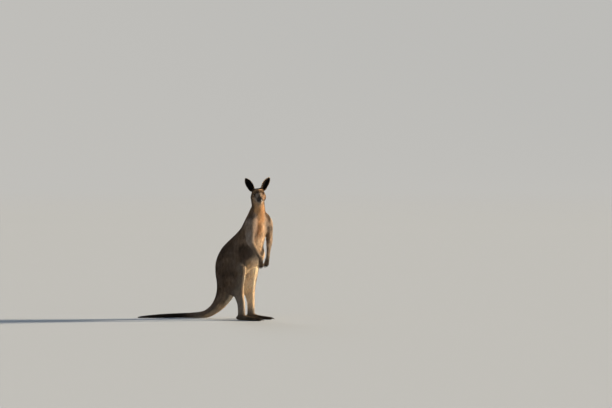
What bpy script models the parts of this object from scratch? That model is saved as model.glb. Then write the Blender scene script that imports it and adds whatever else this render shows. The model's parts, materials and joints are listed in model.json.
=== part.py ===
"""Life-size eastern grey kangaroo, standing upright and looking over its right shoulder.

Metres, +Z up. The animal's hind feet point along +X, its left is +Y, and it stands on Z = 0.
All sizes below are written in the body frame, whose origin is on the ground between the ankles.
ORIGIN is the point of that frame which becomes the model's origin, the middle of its footprint.
The flesh is modelled whole, from lofts and balls fused by a voxel remesh, and parted with thin cuts.
"""

import math

import bmesh
import bpy
import numpy as np
from mathutils import Matrix, Vector

for old in list(bpy.data.objects):
    bpy.data.objects.remove(old, do_unlink=True)

# ------------------------------------------------------------------ driving sizes
ORIGIN = (-0.36863, -0.07414)  # body-frame X, Y of the model's origin
GAP = 0.0004                 # width of every cut between two pieces
SKIN_GAP = 0.0005            # how far a neighbour's surface is grown before it trims a piece
VOXEL_BODY = 0.0070
VOXEL_HEAD = 0.0032
VOXEL_PAW = 0.0026
CHEST_TURN = -30.0           # degrees the chest is turned towards the animal's right
HEAD_AT = (0.140, -0.004, 1.219)
HEAD_YAW, HEAD_PITCH, HEAD_ROLL = -52.5, 14.5, 7.0
EYE_RADIUS = 0.0138
EYE_AT = (0.0330, 0.0395, 0.0175)   # in the head frame, for the left eye
EAR_LENGTH, EAR_WIDTH, EAR_WALL = 0.142, 0.070, 0.0036
EAR_ROOT = (-0.040, 0.041, 0.034)   # in the head frame, for the left ear
EAR_LEAN = {1: 43.0, -1: 27.0}      # degrees each ear leans outwards, left and right
WITHERS = ((0.188, 0.044, 0.990), (0.052, 0.050, 0.052))  # the raised left shoulder
FOOT_SPREAD = 0.095                 # half the distance between the ankles
POUCH_AT, POUCH_SIZE = (0.054, -0.006, 0.640), (0.152, 0.118, 0.142)  # the sagging lower belly

# x, y, z, half width, depth to the back, depth to the belly, turn of the cross-section in degrees
LONG_BODY = [
    (-1.0200, -0.3300, 0.0062, 0.0060, 0.0062, 0.0066, 0),
    (-0.9900, -0.3080, 0.0088, 0.0104, 0.0108, 0.0116, 0),
    (-0.9335, -0.2680, 0.0124, 0.0145, 0.0150, 0.0156, 0),
    (-0.8495, -0.2130, 0.0165, 0.0188, 0.0192, 0.0196, 0),
    (-0.7630, -0.1630, 0.0198, 0.0216, 0.0220, 0.0224, 0),
    (-0.6735, -0.1180, 0.0228, 0.0238, 0.0236, 0.0242, 0),
    (-0.5810, -0.0790, 0.0252, 0.0268, 0.0264, 0.0268, 0),
    (-0.4950, -0.0490, 0.0295, 0.0315, 0.0310, 0.0312, 0),
    (-0.4260, -0.0290, 0.0425, 0.0378, 0.0380, 0.0395, 0),
    (-0.3480, -0.0120, 0.0910, 0.0468, 0.0490, 0.0510, 0),
    (-0.2850, -0.0020, 0.1600, 0.0590, 0.0650, 0.0690, 0),
    (-0.2360, 0.0000, 0.2430, 0.0740, 0.0860, 0.0900, 0),
    (-0.2060, 0.0000, 0.3300, 0.0920, 0.1130, 0.1150, 0),
    (-0.1840, 0.0000, 0.4150, 0.1070, 0.1500, 0.1380, 0),
    (-0.1560, 0.0000, 0.5050, 0.1200, 0.1760, 0.1700, 0),
    (-0.1120, 0.0000, 0.5950, 0.1330, 0.1730, 0.2050, -2),
    (-0.0500, 0.0000, 0.6850, 0.1360, 0.1470, 0.2180, -6),
    (0.0180, 0.0000, 0.7720, 0.1300, 0.1210, 0.1900, -13),
    (0.0730, 0.0000, 0.8500, 0.1220, 0.1110, 0.1480, -20),
    (0.1040, 0.0000, 0.9200, 0.1180, 0.1040, 0.1180, -27),
    (0.1200, 0.0000, 0.9850, 0.1040, 0.0870, 0.0950, -32),
    (0.1290, 0.0015, 1.0450, 0.0815, 0.0745, 0.0775, -38),
    (0.1340, 0.0062, 1.1000, 0.0640, 0.0655, 0.0670, -46),
    (0.1265, 0.0095, 1.1550, 0.0640, 0.0645, 0.0640, -52),
    (0.1180, 0.0150, 1.2050, 0.0600, 0.0600, 0.0600, -55),
]

# x along the skull, z of the section's middle, half width, height above, depth below, squareness
SKULL = [
    (-0.071, -0.006, 0.0230, 0.0230, 0.0290, 2.0),
    (-0.064, -0.007, 0.0400, 0.0395, 0.0480, 2.0),
    (-0.046, -0.008, 0.0580, 0.0570, 0.0670, 2.0),
    (-0.022, -0.010, 0.0675, 0.0650, 0.0720, 2.05),
    (0.004, -0.010, 0.0645, 0.0640, 0.0690, 2.1),
    (0.028, -0.010, 0.0550, 0.0580, 0.0640, 2.2),
    (0.048, -0.012, 0.0465, 0.0490, 0.0590, 2.25),
    (0.068, -0.014, 0.0390, 0.0405, 0.0540, 2.3),
    (0.088, -0.016, 0.0335, 0.0335, 0.0490, 2.35),
    (0.106, -0.018, 0.0300, 0.0285, 0.0440, 2.4),
    (0.121, -0.020, 0.0265, 0.0240, 0.0370, 2.4),
    (0.131, -0.021, 0.0210, 0.0185, 0.0270, 2.3),
    (0.1380, -0.021, 0.0110, 0.0100, 0.0130, 2.0),
]

# The arms: shoulder, elbow, wrist and where the fingers end, in the body frame.
ARMS = {
    "right": dict(shoulder=(0.112, -0.108, 0.950), elbow=(0.128, -0.149, 0.772),
                  wrist=(0.239, -0.133, 0.604), tip=(0.236, -0.131, 0.494)),
    "left": dict(shoulder=(0.204, 0.082, 0.952), elbow=(0.204, 0.106, 0.772),
                 wrist=(0.2675, -0.046, 0.611), tip=(0.244, -0.062, 0.508)),
}
# share of the way along the arm's line, half width across, half depth
ARM_THICK = [
    (-0.06, 0.034, 0.042), (0.00, 0.042, 0.054), (0.12, 0.044, 0.060), (0.28, 0.038, 0.054),
    (0.42, 0.0320, 0.0440), (0.50, 0.0305, 0.0385), (0.57, 0.0300, 0.0350), (0.66, 0.0260, 0.0290),
    (0.75, 0.0212, 0.0238), (0.85, 0.0188, 0.0200), (0.95, 0.0176, 0.0180), (1.00, 0.0180, 0.0172),
    (1.05, 0.0185, 0.0162),
]

# The hind leg, for the left side: x, y, z, half width, half depth to the front, half depth to the back
THIGH = [
    (-0.225, 0.070, 0.520, 0.060, 0.080, 0.080),
    (-0.165, 0.100, 0.545, 0.072, 0.110, 0.110),
    (-0.095, 0.118, 0.550, 0.066, 0.105, 0.110),
    (-0.030, 0.128, 0.536, 0.055, 0.082, 0.088),
    (0.016, 0.131, 0.516, 0.046, 0.058, 0.066),
    (0.044, 0.131, 0.492, 0.038, 0.036, 0.045),
]
# The mass of the haunch, from the hip down to the back of the knee, in the same columns
HAUNCH = [
    (-0.118, 0.074, 0.632, 0.040, 0.085, 0.085),
    (-0.130, 0.088, 0.580, 0.064, 0.135, 0.138),
    (-0.135, 0.095, 0.520, 0.075, 0.152, 0.150),
    (-0.142, 0.095, 0.455, 0.071, 0.146, 0.138),
    (-0.142, 0.095, 0.400, 0.064, 0.128, 0.125),
    (-0.122, 0.100, 0.350, 0.054, 0.092, 0.102),
    (-0.086, 0.108, 0.308, 0.045, 0.068, 0.076),
    (-0.050, 0.112, 0.270, 0.036, 0.048, 0.054),
]
SHANK = [
    (0.024, 0.130, 0.510, 0.040, 0.040, 0.050),
    (0.016, 0.129, 0.470, 0.046, 0.052, 0.062),
    (0.002, 0.125, 0.410, 0.046, 0.056, 0.078),
    (-0.008, 0.119, 0.345, 0.042, 0.054, 0.082),
    (-0.010, 0.112, 0.285, 0.036, 0.049, 0.074),
    (-0.006, 0.106, 0.230, 0.0300, 0.0430, 0.0590),
    (0.000, 0.101, 0.175, 0.0258, 0.0395, 0.0430),
    (0.003, 0.097, 0.120, 0.0240, 0.0380, 0.0370),
    (0.004, 0.095, 0.075, 0.0245, 0.0380, 0.0390),
    (0.004, 0.095, 0.035, 0.0240, 0.0370, 0.0400),
]
# The foot, along its own length from the heel: x, z, half width, height above, depth below
FOOT = [
    (-0.052, 0.0230, 0.0120, 0.0120, 0.0120),
    (-0.040, 0.0250, 0.0190, 0.0220, 0.0230),
    (-0.010, 0.0280, 0.0235, 0.0300, 0.0300),
    (0.030, 0.0270, 0.0240, 0.0290, 0.0290),
    (0.070, 0.0210, 0.0235, 0.0215, 0.0230),
    (0.108, 0.0180, 0.0240, 0.0180, 0.0200),
    (0.138, 0.0165, 0.0215, 0.0165, 0.0185),
    (0.168, 0.0150, 0.0168, 0.0150, 0.0170),
    (0.194, 0.0140, 0.0148, 0.0140, 0.0160),
    (0.214, 0.0125, 0.0128, 0.0125, 0.0145),
    (0.223, 0.0115, 0.0070, 0.0080, 0.0100),
]
TOES_OUT = 3.0  # degrees each foot points outwards
# root x, root y, z, tip x, tip y, z, root radius, tip radius, in the left foot's frame
TOE_5 = (0.088, 0.0185, 0.0140, 0.166, 0.0290, 0.0115, 0.0130, 0.0098)
TOE_3 = (0.084, -0.0180, 0.0130, 0.128, -0.0240, 0.0090, 0.0100, 0.0066)
TOE_2 = (0.084, -0.0230, 0.0120, 0.121, -0.0315, 0.0085, 0.0085, 0.0060)


# ------------------------------------------------------------------ modelling helpers
def link(obj, collection=None):
    (collection or bpy.context.scene.collection).objects.link(obj)
    return obj


def spline(rows, count):
    """Rows of numbers resampled along a smooth curve through them."""
    rows = np.array(rows, float)
    first, last = 2 * rows[0] - rows[1], 2 * rows[-1] - rows[-2]
    p = np.vstack([first, rows, last])
    step = np.linalg.norm(np.diff(rows[:, :3], axis=0), axis=1)
    at = np.concatenate([[0], np.cumsum(step)])
    knots = np.concatenate([[-step[0]], at, [at[-1] + step[-1]]])
    out = []
    for t in np.linspace(0, at[-1], count):
        i = min(max(int(np.searchsorted(at, t, side="right")) - 1, 0), len(rows) - 2)
        k, q = knots[i:i + 4], p[i:i + 4]
        u = (t - k[1]) / (k[2] - k[1])
        m1 = (q[2] - q[0]) / (k[2] - k[0]) * (k[2] - k[1])
        m2 = (q[3] - q[1]) / (k[3] - k[1]) * (k[2] - k[1])
        out.append((2 * u**3 - 3 * u**2 + 1) * q[1] + (u**3 - 2 * u**2 + u) * m1
                   + (-2 * u**3 + 3 * u**2) * q[2] + (u**3 - u**2) * m2)
    return np.array(out)


def loft(rings):
    """A closed mesh from rings of equally many points, with a fan over each end."""
    bm = bmesh.new()
    rows = [[bm.verts.new(p) for p in ring] for ring in rings]
    for a, b in zip(rows, rows[1:]):
        for i in range(len(a)):
            j = (i + 1) % len(a)
            bm.faces.new((a[i], a[j], b[j], b[i]))
    for ring, flip in ((rows[0], True), (rows[-1], False)):
        middle = bm.verts.new(sum((v.co for v in ring), Vector()) / len(ring))
        for i in range(len(ring)):
            j = (i + 1) % len(ring)
            bm.faces.new((ring[j], ring[i], middle) if flip else (ring[i], ring[j], middle))
    bmesh.ops.recalc_face_normals(bm, faces=bm.faces)
    return bm


def section(at, side, up, half, above, below, square=2.0, sides=40):
    """One ring: half wide each way along side, above along up and below against it."""
    ring = []
    for i in range(sides):
        a = 2 * math.pi * i / sides
        c, s = math.cos(a), math.sin(a)
        x = math.copysign(abs(c) ** (2 / square), c) * half
        y = math.copysign(abs(s) ** (2 / square), s) * (above if s > 0 else below)
        ring.append(Vector(at) + Vector(side) * x + Vector(up) * y)
    return ring


def rounded(rings):
    """The rings with both ends closed to a dome, so that a loft ends softly."""
    out = list(rings)
    for end in (0, -1):
        ring = rings[end]
        centre = sum(ring, Vector()) / len(ring)
        inner = sum(rings[1 if end == 0 else -2], Vector()) / len(ring)
        out_dir = (centre - inner).normalized()
        reach = min((p - centre).length for p in ring) * 0.8
        caps = [[centre + (p - centre) * math.cos(a) + out_dir * reach * math.sin(a) for p in ring]
                for a in (0.45, 0.85, 1.2)]
        out = (caps[::-1] + out) if end == 0 else (out + caps)
    return out


def frames(path, across):
    """For each point of a path: the tangent, the side nearest to across, and the third direction."""
    path = np.array(path, float)
    tangent = np.gradient(path, axis=0)
    found = []
    for t, a in zip(tangent, across):
        t = Vector(t).normalized()
        side = Vector(a) - t * Vector(a).dot(t)
        side.normalize()
        found.append((t, side, t.cross(side)))
    return found


def long_body(low=-9.0, high=9.0, count=170):
    """The loft of tail, trunk and neck, or the stretch of it between two heights."""
    rows = spline(LONG_BODY, count)
    across = [(-math.sin(math.radians(r[6])), math.cos(math.radians(r[6])), 0) for r in rows]
    rings = [section(r[:3], side, up, r[3], r[4], r[5], 2.1, 48)
             for r, (t, side, up) in zip(rows, frames(rows[:, :3], across)) if low <= r[2] <= high]
    return loft(rounded(rings))


def tube(points, radii, count=24, sides=20, across=(0, 1, 0)):
    """A round-ended tube through points, with a radius or (half width, half depth) at each."""
    rows = [list(p) + list(r if hasattr(r, "__len__") else (r, r)) for p, r in zip(points, radii)]
    rows = spline(rows, count)
    rings = [section(r[:3], side, up, r[3], r[4], r[4], 2.0, sides)
             for r, (t, side, up) in zip(rows, frames(rows[:, :3], [across] * len(rows)))]
    return loft(rounded(rings))


def ball(at, radii, turn=(0, 0, 0), around=32):
    bm = bmesh.new()
    bmesh.ops.create_uvsphere(bm, u_segments=around, v_segments=around * 5 // 8, radius=1.0)
    matrix = Matrix.LocRotScale(Vector(at), Matrix.Rotation(math.radians(turn[2]), 3, "Z")
                                @ Matrix.Rotation(math.radians(turn[1]), 3, "Y")
                                @ Matrix.Rotation(math.radians(turn[0]), 3, "X"), Vector(radii))
    bmesh.ops.transform(bm, matrix=matrix, verts=bm.verts)
    return bm


def moved(bm, matrix):
    bmesh.ops.transform(bm, matrix=matrix, verts=bm.verts)
    return bm


def joined(name, shapes):
    whole = bmesh.new()
    for bm in shapes:
        piece = bpy.data.meshes.new(name)
        bm.to_mesh(piece)
        bm.free()
        whole.from_mesh(piece)
        bpy.data.meshes.remove(piece)
    mesh = bpy.data.meshes.new(name)
    whole.to_mesh(mesh)
    whole.free()
    return link(bpy.data.objects.new(name, mesh))


def applied(obj):
    """The object with its modifiers made part of its mesh."""
    graph = bpy.context.evaluated_depsgraph_get()
    mesh = bpy.data.meshes.new_from_object(obj.evaluated_get(graph))
    obj.modifiers.clear()
    obj.data = mesh
    return obj


def ramp(x, low, high):
    """0 below low, 1 above high (or the other way round), and smooth between."""
    t = np.clip((x - low) / (high - low), 0.0, 1.0)
    return t * t * (3 - 2 * t)


def relaxed(mesh, rounds, weight, grow=0.0):
    """Draws a mesh's points towards their neighbours: fully where weight is 1, and not at all where it is 0."""
    co = np.empty(len(mesh.vertices) * 3, np.float32)
    mesh.vertices.foreach_get("co", co)
    p = co.reshape(-1, 3).astype(float)
    ends = np.empty(len(mesh.edges) * 2, np.int32)
    mesh.edges.foreach_get("vertices", ends)
    ends = ends.reshape(-1, 2)
    count = np.bincount(ends.ravel(), minlength=len(p))[:, None]
    w = weight(p)[:, None]
    for _ in range(rounds):
        for step in (0.5, grow):
            if not step:
                continue
            mean = np.stack([np.bincount(ends[:, 0], p[ends[:, 1], k], len(p))
                             + np.bincount(ends[:, 1], p[ends[:, 0], k], len(p)) for k in range(3)], axis=1)
            p += (mean / count - p) * step * w
    mesh.vertices.foreach_set("co", p.astype(np.float32).ravel())
    mesh.update()


def everywhere(p):
    return np.ones(len(p))


def fused(name, shapes, voxel, rounds, triangles, broad_rounds=0, broad=everywhere):
    """The shapes made one closed skin by a voxel remesh, softened, then thinned to so many triangles.

    The first rounds keep the size of thin limbs; broad_rounds soften only where broad says so."""
    obj = joined(name, shapes)
    remesh = obj.modifiers.new("fuse", "REMESH")
    remesh.mode, remesh.voxel_size, remesh.adaptivity = "VOXEL", voxel, 0.0
    applied(obj)
    relaxed(obj.data, rounds, everywhere, -0.53)
    relaxed(obj.data, broad_rounds, broad)
    whole = sum(len(p.vertices) - 2 for p in obj.data.polygons)
    thin = obj.modifiers.new("thin", "DECIMATE")
    thin.ratio = min(1.0, triangles / whole)
    thin.use_collapse_triangulate = True
    return applied(obj)


def halved(obj, name, at, normal, lift=GAP / 2):
    """A copy of obj: the part on the normal's side of a plane, moved lift along the normal, capped flat."""
    at, normal = Vector(at), Vector(normal).normalized()
    bm = bmesh.new()
    bm.from_mesh(obj.data)
    bmesh.ops.bisect_plane(bm, geom=bm.verts[:] + bm.edges[:] + bm.faces[:], dist=1e-7,
                           plane_co=at + normal * lift, plane_no=normal, clear_inner=True)
    rim = [e for e in bm.edges if e.is_boundary]
    if rim:
        bmesh.ops.holes_fill(bm, edges=rim, sides=0)
    bmesh.ops.triangulate(bm, faces=bm.faces)
    bmesh.ops.recalc_face_normals(bm, faces=bm.faces)
    mesh = bpy.data.meshes.new(name)
    bm.to_mesh(mesh)
    bm.free()
    return link(bpy.data.objects.new(name, mesh))


def parted(obj, at, normal, name_above, name_below):
    """Both sides of a plane, with the cut's gap between them. obj itself is removed."""
    above = halved(obj, name_above, at, normal)
    below = halved(obj, name_below, at, -Vector(normal))
    bpy.data.objects.remove(obj)
    return above, below


def grown(obj, name, by):
    """A copy of obj with its surface moved outwards."""
    bm = bmesh.new()
    bm.from_mesh(obj.data)
    bm.normal_update()
    for v in bm.verts:
        v.co += v.normal * by
    mesh = bpy.data.meshes.new(name)
    bm.to_mesh(mesh)
    bm.free()
    return link(bpy.data.objects.new(name, mesh), cutters)


def combined(obj, other, how):
    """obj after a Boolean with other: DIFFERENCE, INTERSECT or UNION."""
    step = obj.modifiers.new(how.lower(), "BOOLEAN")
    step.operation, step.object, step.solver = how, other, "EXACT"
    return applied(obj)


def copied(obj, name):
    return link(bpy.data.objects.new(name, obj.data.copy()))


def hull(name, shapes):
    """The convex hull of some shapes, as a cutter."""
    obj = joined(name, shapes)
    bm = bmesh.new()
    for v in obj.data.vertices:
        bm.verts.new(v.co)
    bmesh.ops.convex_hull(bm, input=bm.verts)
    bmesh.ops.delete(bm, geom=[v for v in bm.verts if not v.link_faces], context="VERTS")
    bmesh.ops.recalc_face_normals(bm, faces=bm.faces)
    bm.to_mesh(obj.data)
    bm.free()
    return obj


def keep_largest(obj):
    """Drops crumbs that a cut can leave beside the piece."""
    bm = bmesh.new()
    bm.from_mesh(obj.data)
    left, groups = set(bm.verts), []
    while left:
        stack, group = [left.pop()], []
        while stack:
            v = stack.pop()
            group.append(v)
            for e in v.link_edges:
                o = e.other_vert(v)
                if o in left:
                    left.discard(o)
                    stack.append(o)
        groups.append(group)
    groups.sort(key=len)
    for group in groups[:-1]:
        bmesh.ops.delete(bm, geom=group, context="VERTS")
    bm.to_mesh(obj.data)
    bm.free()
    return obj


# ------------------------------------------------------------------ the animal's own frames
def turned(yaw, pitch=0.0, roll=0.0):
    return (Matrix.Rotation(math.radians(yaw), 4, "Z") @ Matrix.Rotation(math.radians(pitch), 4, "Y")
            @ Matrix.Rotation(math.radians(roll), 4, "X"))


HEAD = Matrix.Translation(HEAD_AT) @ turned(HEAD_YAW, HEAD_PITCH, HEAD_ROLL)


def mirror_y(p, side):
    return (p[0], p[1] * side, *p[2:])


def foot_frame(side):
    return Matrix.Translation((0.004, side * FOOT_SPREAD, 0)) @ turned(side * TOES_OUT)


def mirrored_tube(points, radii, side, **more):
    return tube([mirror_y(p, side) for p in points], radii, **more)


# ------------------------------------------------------------------ the flesh, as shapes to fuse
def ear_place(side):
    """The ear leans outwards and a little back, and its mouth looks forwards and slightly out."""
    return (HEAD @ Matrix.Translation(mirror_y(EAR_ROOT, side)) @ Matrix.Rotation(math.radians(-EAR_LEAN[side] * side), 4, "X")
            @ Matrix.Rotation(math.radians(-14), 4, "Y") @ Matrix.Rotation(math.radians(8 * side), 4, "Z"))


def skull_shapes():
    rows = spline([(r[0], 0, *r[1:]) for r in SKULL], 60)
    rings = [section((r[0], 0, r[2]), (0, 1, 0), (0, 0, 1), r[3], r[4], r[5], r[6], 44) for r in rows]
    shapes = [loft(rounded(rings))]
    for side in (1, -1):
        shapes += [
            ball((0.022, side * 0.0270, 0.0260), (0.0380, 0.0245, 0.0190), (0, 14, side * 14)),   # brow
            ball((0.004, side * 0.0345, -0.0120), (0.0600, 0.0270, 0.0290), (0, 6, side * 13)),   # cheekbone
            ball((-0.022, side * 0.0420, -0.0360), (0.0480, 0.0345, 0.0430), (0, 8, side * 8)),   # jaw muscle
            ball((0.104, side * 0.0150, -0.0290), (0.0310, 0.0160, 0.0200), (0, 6, side * 7)),    # upper lip
            ball((-0.042, side * 0.0330, 0.0240), (0.0290, 0.0240, 0.0270)),                      # ear root
            ball((-0.038, side * 0.0440, 0.0330), (0.0200, 0.0170, 0.0200)),                      # its outer side
        ]
    shapes += [
        ball((0.094, 0, -0.0520), (0.0340, 0.0200, 0.0140), (0, 4, 0)),      # chin
        ball((0.1235, 0, -0.0125), (0.0135, 0.0205, 0.0135), (0, 20, 0)),    # nose pad
        ball((0.066, 0, 0.0070), (0.0530, 0.0240, 0.0210), (0, 22, 0)),      # bridge of the nose
        ball((-0.024, 0, -0.0440), (0.0570, 0.0580, 0.0760), (0, 8, 0)),     # nape, where the neck meets the skull
    ]
    shapes = [moved(bm, HEAD) for bm in shapes]
    for side in (1, -1):   # the foot of each ear, which closes its cup below
        shapes.append(moved(ball((0.003, 0, -0.003), (0.0195, 0.0210, 0.0150)), ear_place(side)))
    return shapes


def ear_sheet(side, rows=10, columns=7):
    """The ear as a cupped leaf: nearly a tube at its root, open above, pointed at the tip."""
    bm = bmesh.new()
    grid = []
    for j in range(rows):
        v = j / (rows - 1)
        if v < 0.44:
            width = 0.5 * EAR_WIDTH * (0.58 + 0.42 * math.sin(math.pi * v / 0.88))
        else:
            width = 0.5 * EAR_WIDTH * max(0.02, 1 - ((v - 0.44) / 0.56) ** 2.1) ** 0.75
        opening = math.radians(132 - 67 * min(1, v / 0.35) - 22 * v)
        radius = width / math.sin(min(opening, math.pi / 2))
        row = []
        for i in range(columns):
            a = (2 * i / (columns - 1) - 1) * opening
            up = EAR_LENGTH * v
            lean = 0.010 * math.sin(math.pi * v)
            row.append(bm.verts.new((radius * (1 - math.cos(a)) - lean, radius * math.sin(a), up)))
        grid.append(row)
    for a, b in zip(grid, grid[1:]):
        for i in range(columns - 1):
            bm.faces.new((a[i], a[i + 1], b[i + 1], b[i]))
    return moved(bm, ear_place(side))


def arm_line(arm):
    """Points along shoulder, elbow and wrist, bent softly at the elbow, and each one's share of the way."""
    s, e, w, t = (Vector(arm[k]) for k in ("shoulder", "elbow", "wrist", "tip"))
    path = []
    for share, across, deep in ARM_THICK:
        if share <= 0.5:
            p = s.lerp(e, share / 0.5)
        elif share <= 1.0:
            p = e.lerp(w, (share - 0.5) / 0.5)
        else:
            p = w + (t - w) * (share - 1.0) * 2.0
        path.append(p)
    return path, [(a, d) for _, a, d in ARM_THICK]


def arm_shapes(name, first=0):
    arm = ARMS[name]
    path, thick = arm_line(arm)
    forward = Vector(arm["wrist"]) - Vector(arm["elbow"])
    across = Vector((-forward.y, forward.x, 0)).normalized()
    shapes = [tube(path[first:], thick[first:], 40, 24, across)]
    if first == 0:
        out = Vector((-math.sin(math.radians(CHEST_TURN)), math.cos(math.radians(CHEST_TURN)), 0)) * (1 if name == "left" else -1)
        e = Vector(arm["elbow"])
        shapes.append(ball(e + Vector((-0.016, 0, 0.006)), (0.022, 0.024, 0.030)))                      # point of the elbow
        shapes.append(ball(Vector(arm["shoulder"]) - out * 0.026 + Vector((0, 0, -0.006)), (0.056, 0.046, 0.066)))  # shoulder
    return shapes


def hand_frame(name):
    arm = ARMS[name]
    down = (Vector(arm["tip"]) - Vector(arm["wrist"])).normalized()
    inward = Vector((-math.sin(math.radians(CHEST_TURN)), math.cos(math.radians(CHEST_TURN)), 0)) * (-1 if name == "left" else 1)
    inward = (inward - down * inward.dot(down)).normalized()
    back = down.cross(inward) * (-1 if name == "left" else 1)
    return Vector(arm["wrist"]), down, inward, back


# For the five fingers: how far across the palm from the thumb side, reach, spread, curl, radius
FINGERS = [
    (-0.0180, 0.038, -0.26, 0.14, 0.0060),
    (-0.0096, 0.050, -0.10, 0.22, 0.0066),
    (0.0000, 0.053, 0.00, 0.24, 0.0068),
    (0.0096, 0.049, 0.09, 0.22, 0.0066),
    (0.0176, 0.040, 0.20, 0.14, 0.0060),
]


def hand_shapes(name, with_claws=True):
    wrist, down, inward, back = hand_frame(name)

    def at(d, i, b):
        return wrist + down * d + inward * i + back * b

    shapes = [tube([at(-0.010, 0, 0), at(0.008, 0, 0), at(0.024, 0, 0.001), at(0.040, 0, 0.001)],
                   [(0.0178, 0.0168), (0.0195, 0.0160), (0.0245, 0.0140), (0.0225, 0.0115)], 16, 20, inward)]
    for across, reach, spread, curl, radius in FINGERS:
        root = at(0.034, across, 0.001)
        knuckle = at(0.034 + reach * 0.58, across + spread * reach * 0.55, 0.004)
        end = at(0.034 + reach * 1.04, across + spread * reach, 0.003 - curl * 0.045)
        shapes.append(tube([root, knuckle, end], [radius * 1.15, radius, radius * 0.86], 12, 12, inward))
        if with_claws:
            claw = at(0.034 + reach * 1.04 + 0.016, across + spread * (reach + 0.008), -curl * 0.045 - 0.0080)
            shapes.append(tube([end, end.lerp(claw, 0.55) + back * 0.0024, claw], [0.0044, 0.0033, 0.0013], 10, 10, inward))
    return shapes


def leg_shapes(side, part):
    rows = [mirror_y(r, side) for r in (THIGH if part == "thigh" else SHANK)]
    rows = spline(rows, 40)
    path = frames(rows[:, :3], [(0, 1, 0)] * len(rows))
    rings = []
    for r, (t, across, up) in zip(rows, path):
        front = up if up.x > 0 or (part == "thigh" and up.z > 0) else -up
        rings.append(section(r[:3], across, front, r[3], r[4], r[5], 2.1, 32))
    shapes = [loft(rounded(rings))]
    if part == "thigh":
        rows = spline([mirror_y(r, side) for r in HAUNCH], 40)
        rings = [section(r[:3], across, up if up.x > 0 else -up, r[3], r[4], r[5], 2.05, 40)
                 for r, (t, across, up) in zip(rows, frames(rows[:, :3], [(0, 1, 0)] * len(rows)))]
        shapes += [loft(rounded(rings)), ball((0.034, side * 0.130, 0.508), (0.038, 0.038, 0.042))]   # haunch, kneecap
    return shapes


def foot_shapes(side):
    rows = spline([(r[0], 0, *r[1:]) for r in FOOT], 50)
    rings = [section((r[0], 0, r[2]), (0, 1, 0), (0, 0, 1), r[3], r[4], r[5], 2.3, 28) for r in rows]
    shapes = [loft(rounded(rings))]
    for toe in (TOE_5, TOE_3, TOE_2):
        x0, y0, z0, x1, y1, z1, r0, r1 = toe
        shapes.append(tube([(x0, y0, z0), ((x0 + x1) / 2, (y0 + y1) / 2 + 0.001, (z0 + z1) / 2 + 0.001), (x1, y1, z1)],
                           [(r0, r0), ((r0 + r1) / 2, (r0 + r1) / 2), (r1, r1)], 16, 16))
    if side < 0:
        shapes = [moved(bm, Matrix.Scale(-1, 4, (0, 1, 0))) for bm in shapes]
        for bm in shapes:
            bmesh.ops.reverse_faces(bm, faces=bm.faces)
    return [moved(bm, foot_frame(side)) for bm in shapes]


def claw_shape(side, root, tip, thick, wide):
    """A hind claw, in the left foot's frame: a blunt horn that droops to its point."""
    a, b = Vector(root), Vector(tip)
    middle = a.lerp(b, 0.5) + Vector((0, 0, 0.0030))
    rows = spline([(*mirror_y(tuple(p), side), w, t) for p, w, t in
                   ((a, wide, thick), (middle, wide * 0.80, thick * 0.80), (b, wide * 0.22, thick * 0.22))], 5)
    rings = [section(r[:3], across, up, r[3], r[4], r[4], 2.0, 9)
             for r, (t, across, up) in zip(rows, frames(rows[:, :3], [(0, 1, 0)] * len(rows)))]
    return moved(loft(rings), foot_frame(side))


def trunk_only_mask(p):
    """1 on the trunk and thighs, fading out on the neck, the arms and the shanks, whose thickness is kept."""
    w = ramp(p[:, 2], 0.22, 0.36) * ramp(p[:, 2], 1.09, 0.97)
    for arm in ARMS.values():
        line = [Vector(arm[k]) for k in ("shoulder", "elbow", "wrist")]
        for a, b in zip(line, line[1:]):
            ab = np.array(b - a)
            t = np.clip(((p - np.array(a)) @ ab) / (ab @ ab), 0, 1)
            d = np.linalg.norm(p - (np.array(a) + t[:, None] * ab), axis=1)
            w *= ramp(d, 0.024, 0.085) if b is line[2] else 0.25 + 0.75 * ramp(d, 0.03, 0.09)
    return w


def skull_mask(p):
    """1 on the skull behind the muzzle, and little on the muzzle itself."""
    m = np.array(HEAD.inverted(), float)
    along = p @ m[0, :3] + m[0, 3]
    return 0.12 + 0.88 * ramp(along, 0.085, 0.045)


# ------------------------------------------------------------------ build
parts = bpy.data.collections.new("kangaroo")
cutters = bpy.data.collections.new("kangaroo_cutters")
for collection in (parts, cutters):
    bpy.context.scene.collection.children.link(collection)
cutters.hide_render = True

SIDES = {"left": 1, "right": -1}
body = fused("body", [long_body(), ball(POUCH_AT, POUCH_SIZE, (0, 8, -8)), ball(*WITHERS)]
             + [s for side in (1, -1) for part in ("thigh", "shank") for s in leg_shapes(side, part)]
             + [s for name in ARMS for s in arm_shapes(name)],
             VOXEL_BODY, 10, 2900, 56, trunk_only_mask)
head = fused("head_whole", skull_shapes() + [long_body(low=1.02, count=170)], VOXEL_HEAD, 5, 1000, 35, skull_mask)

nodes = {}
# Head and neck part where the skull sits on the neck.
NECK_CUT = Vector((0.114, 0.010, 1.150))
NECK_UP = (HEAD.to_3x3() @ Vector((0.22, 0, 1.0))).normalized()
nodes["head"] = keep_largest(halved(head, "head", NECK_CUT, NECK_UP))
bpy.data.objects.remove(head)

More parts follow.
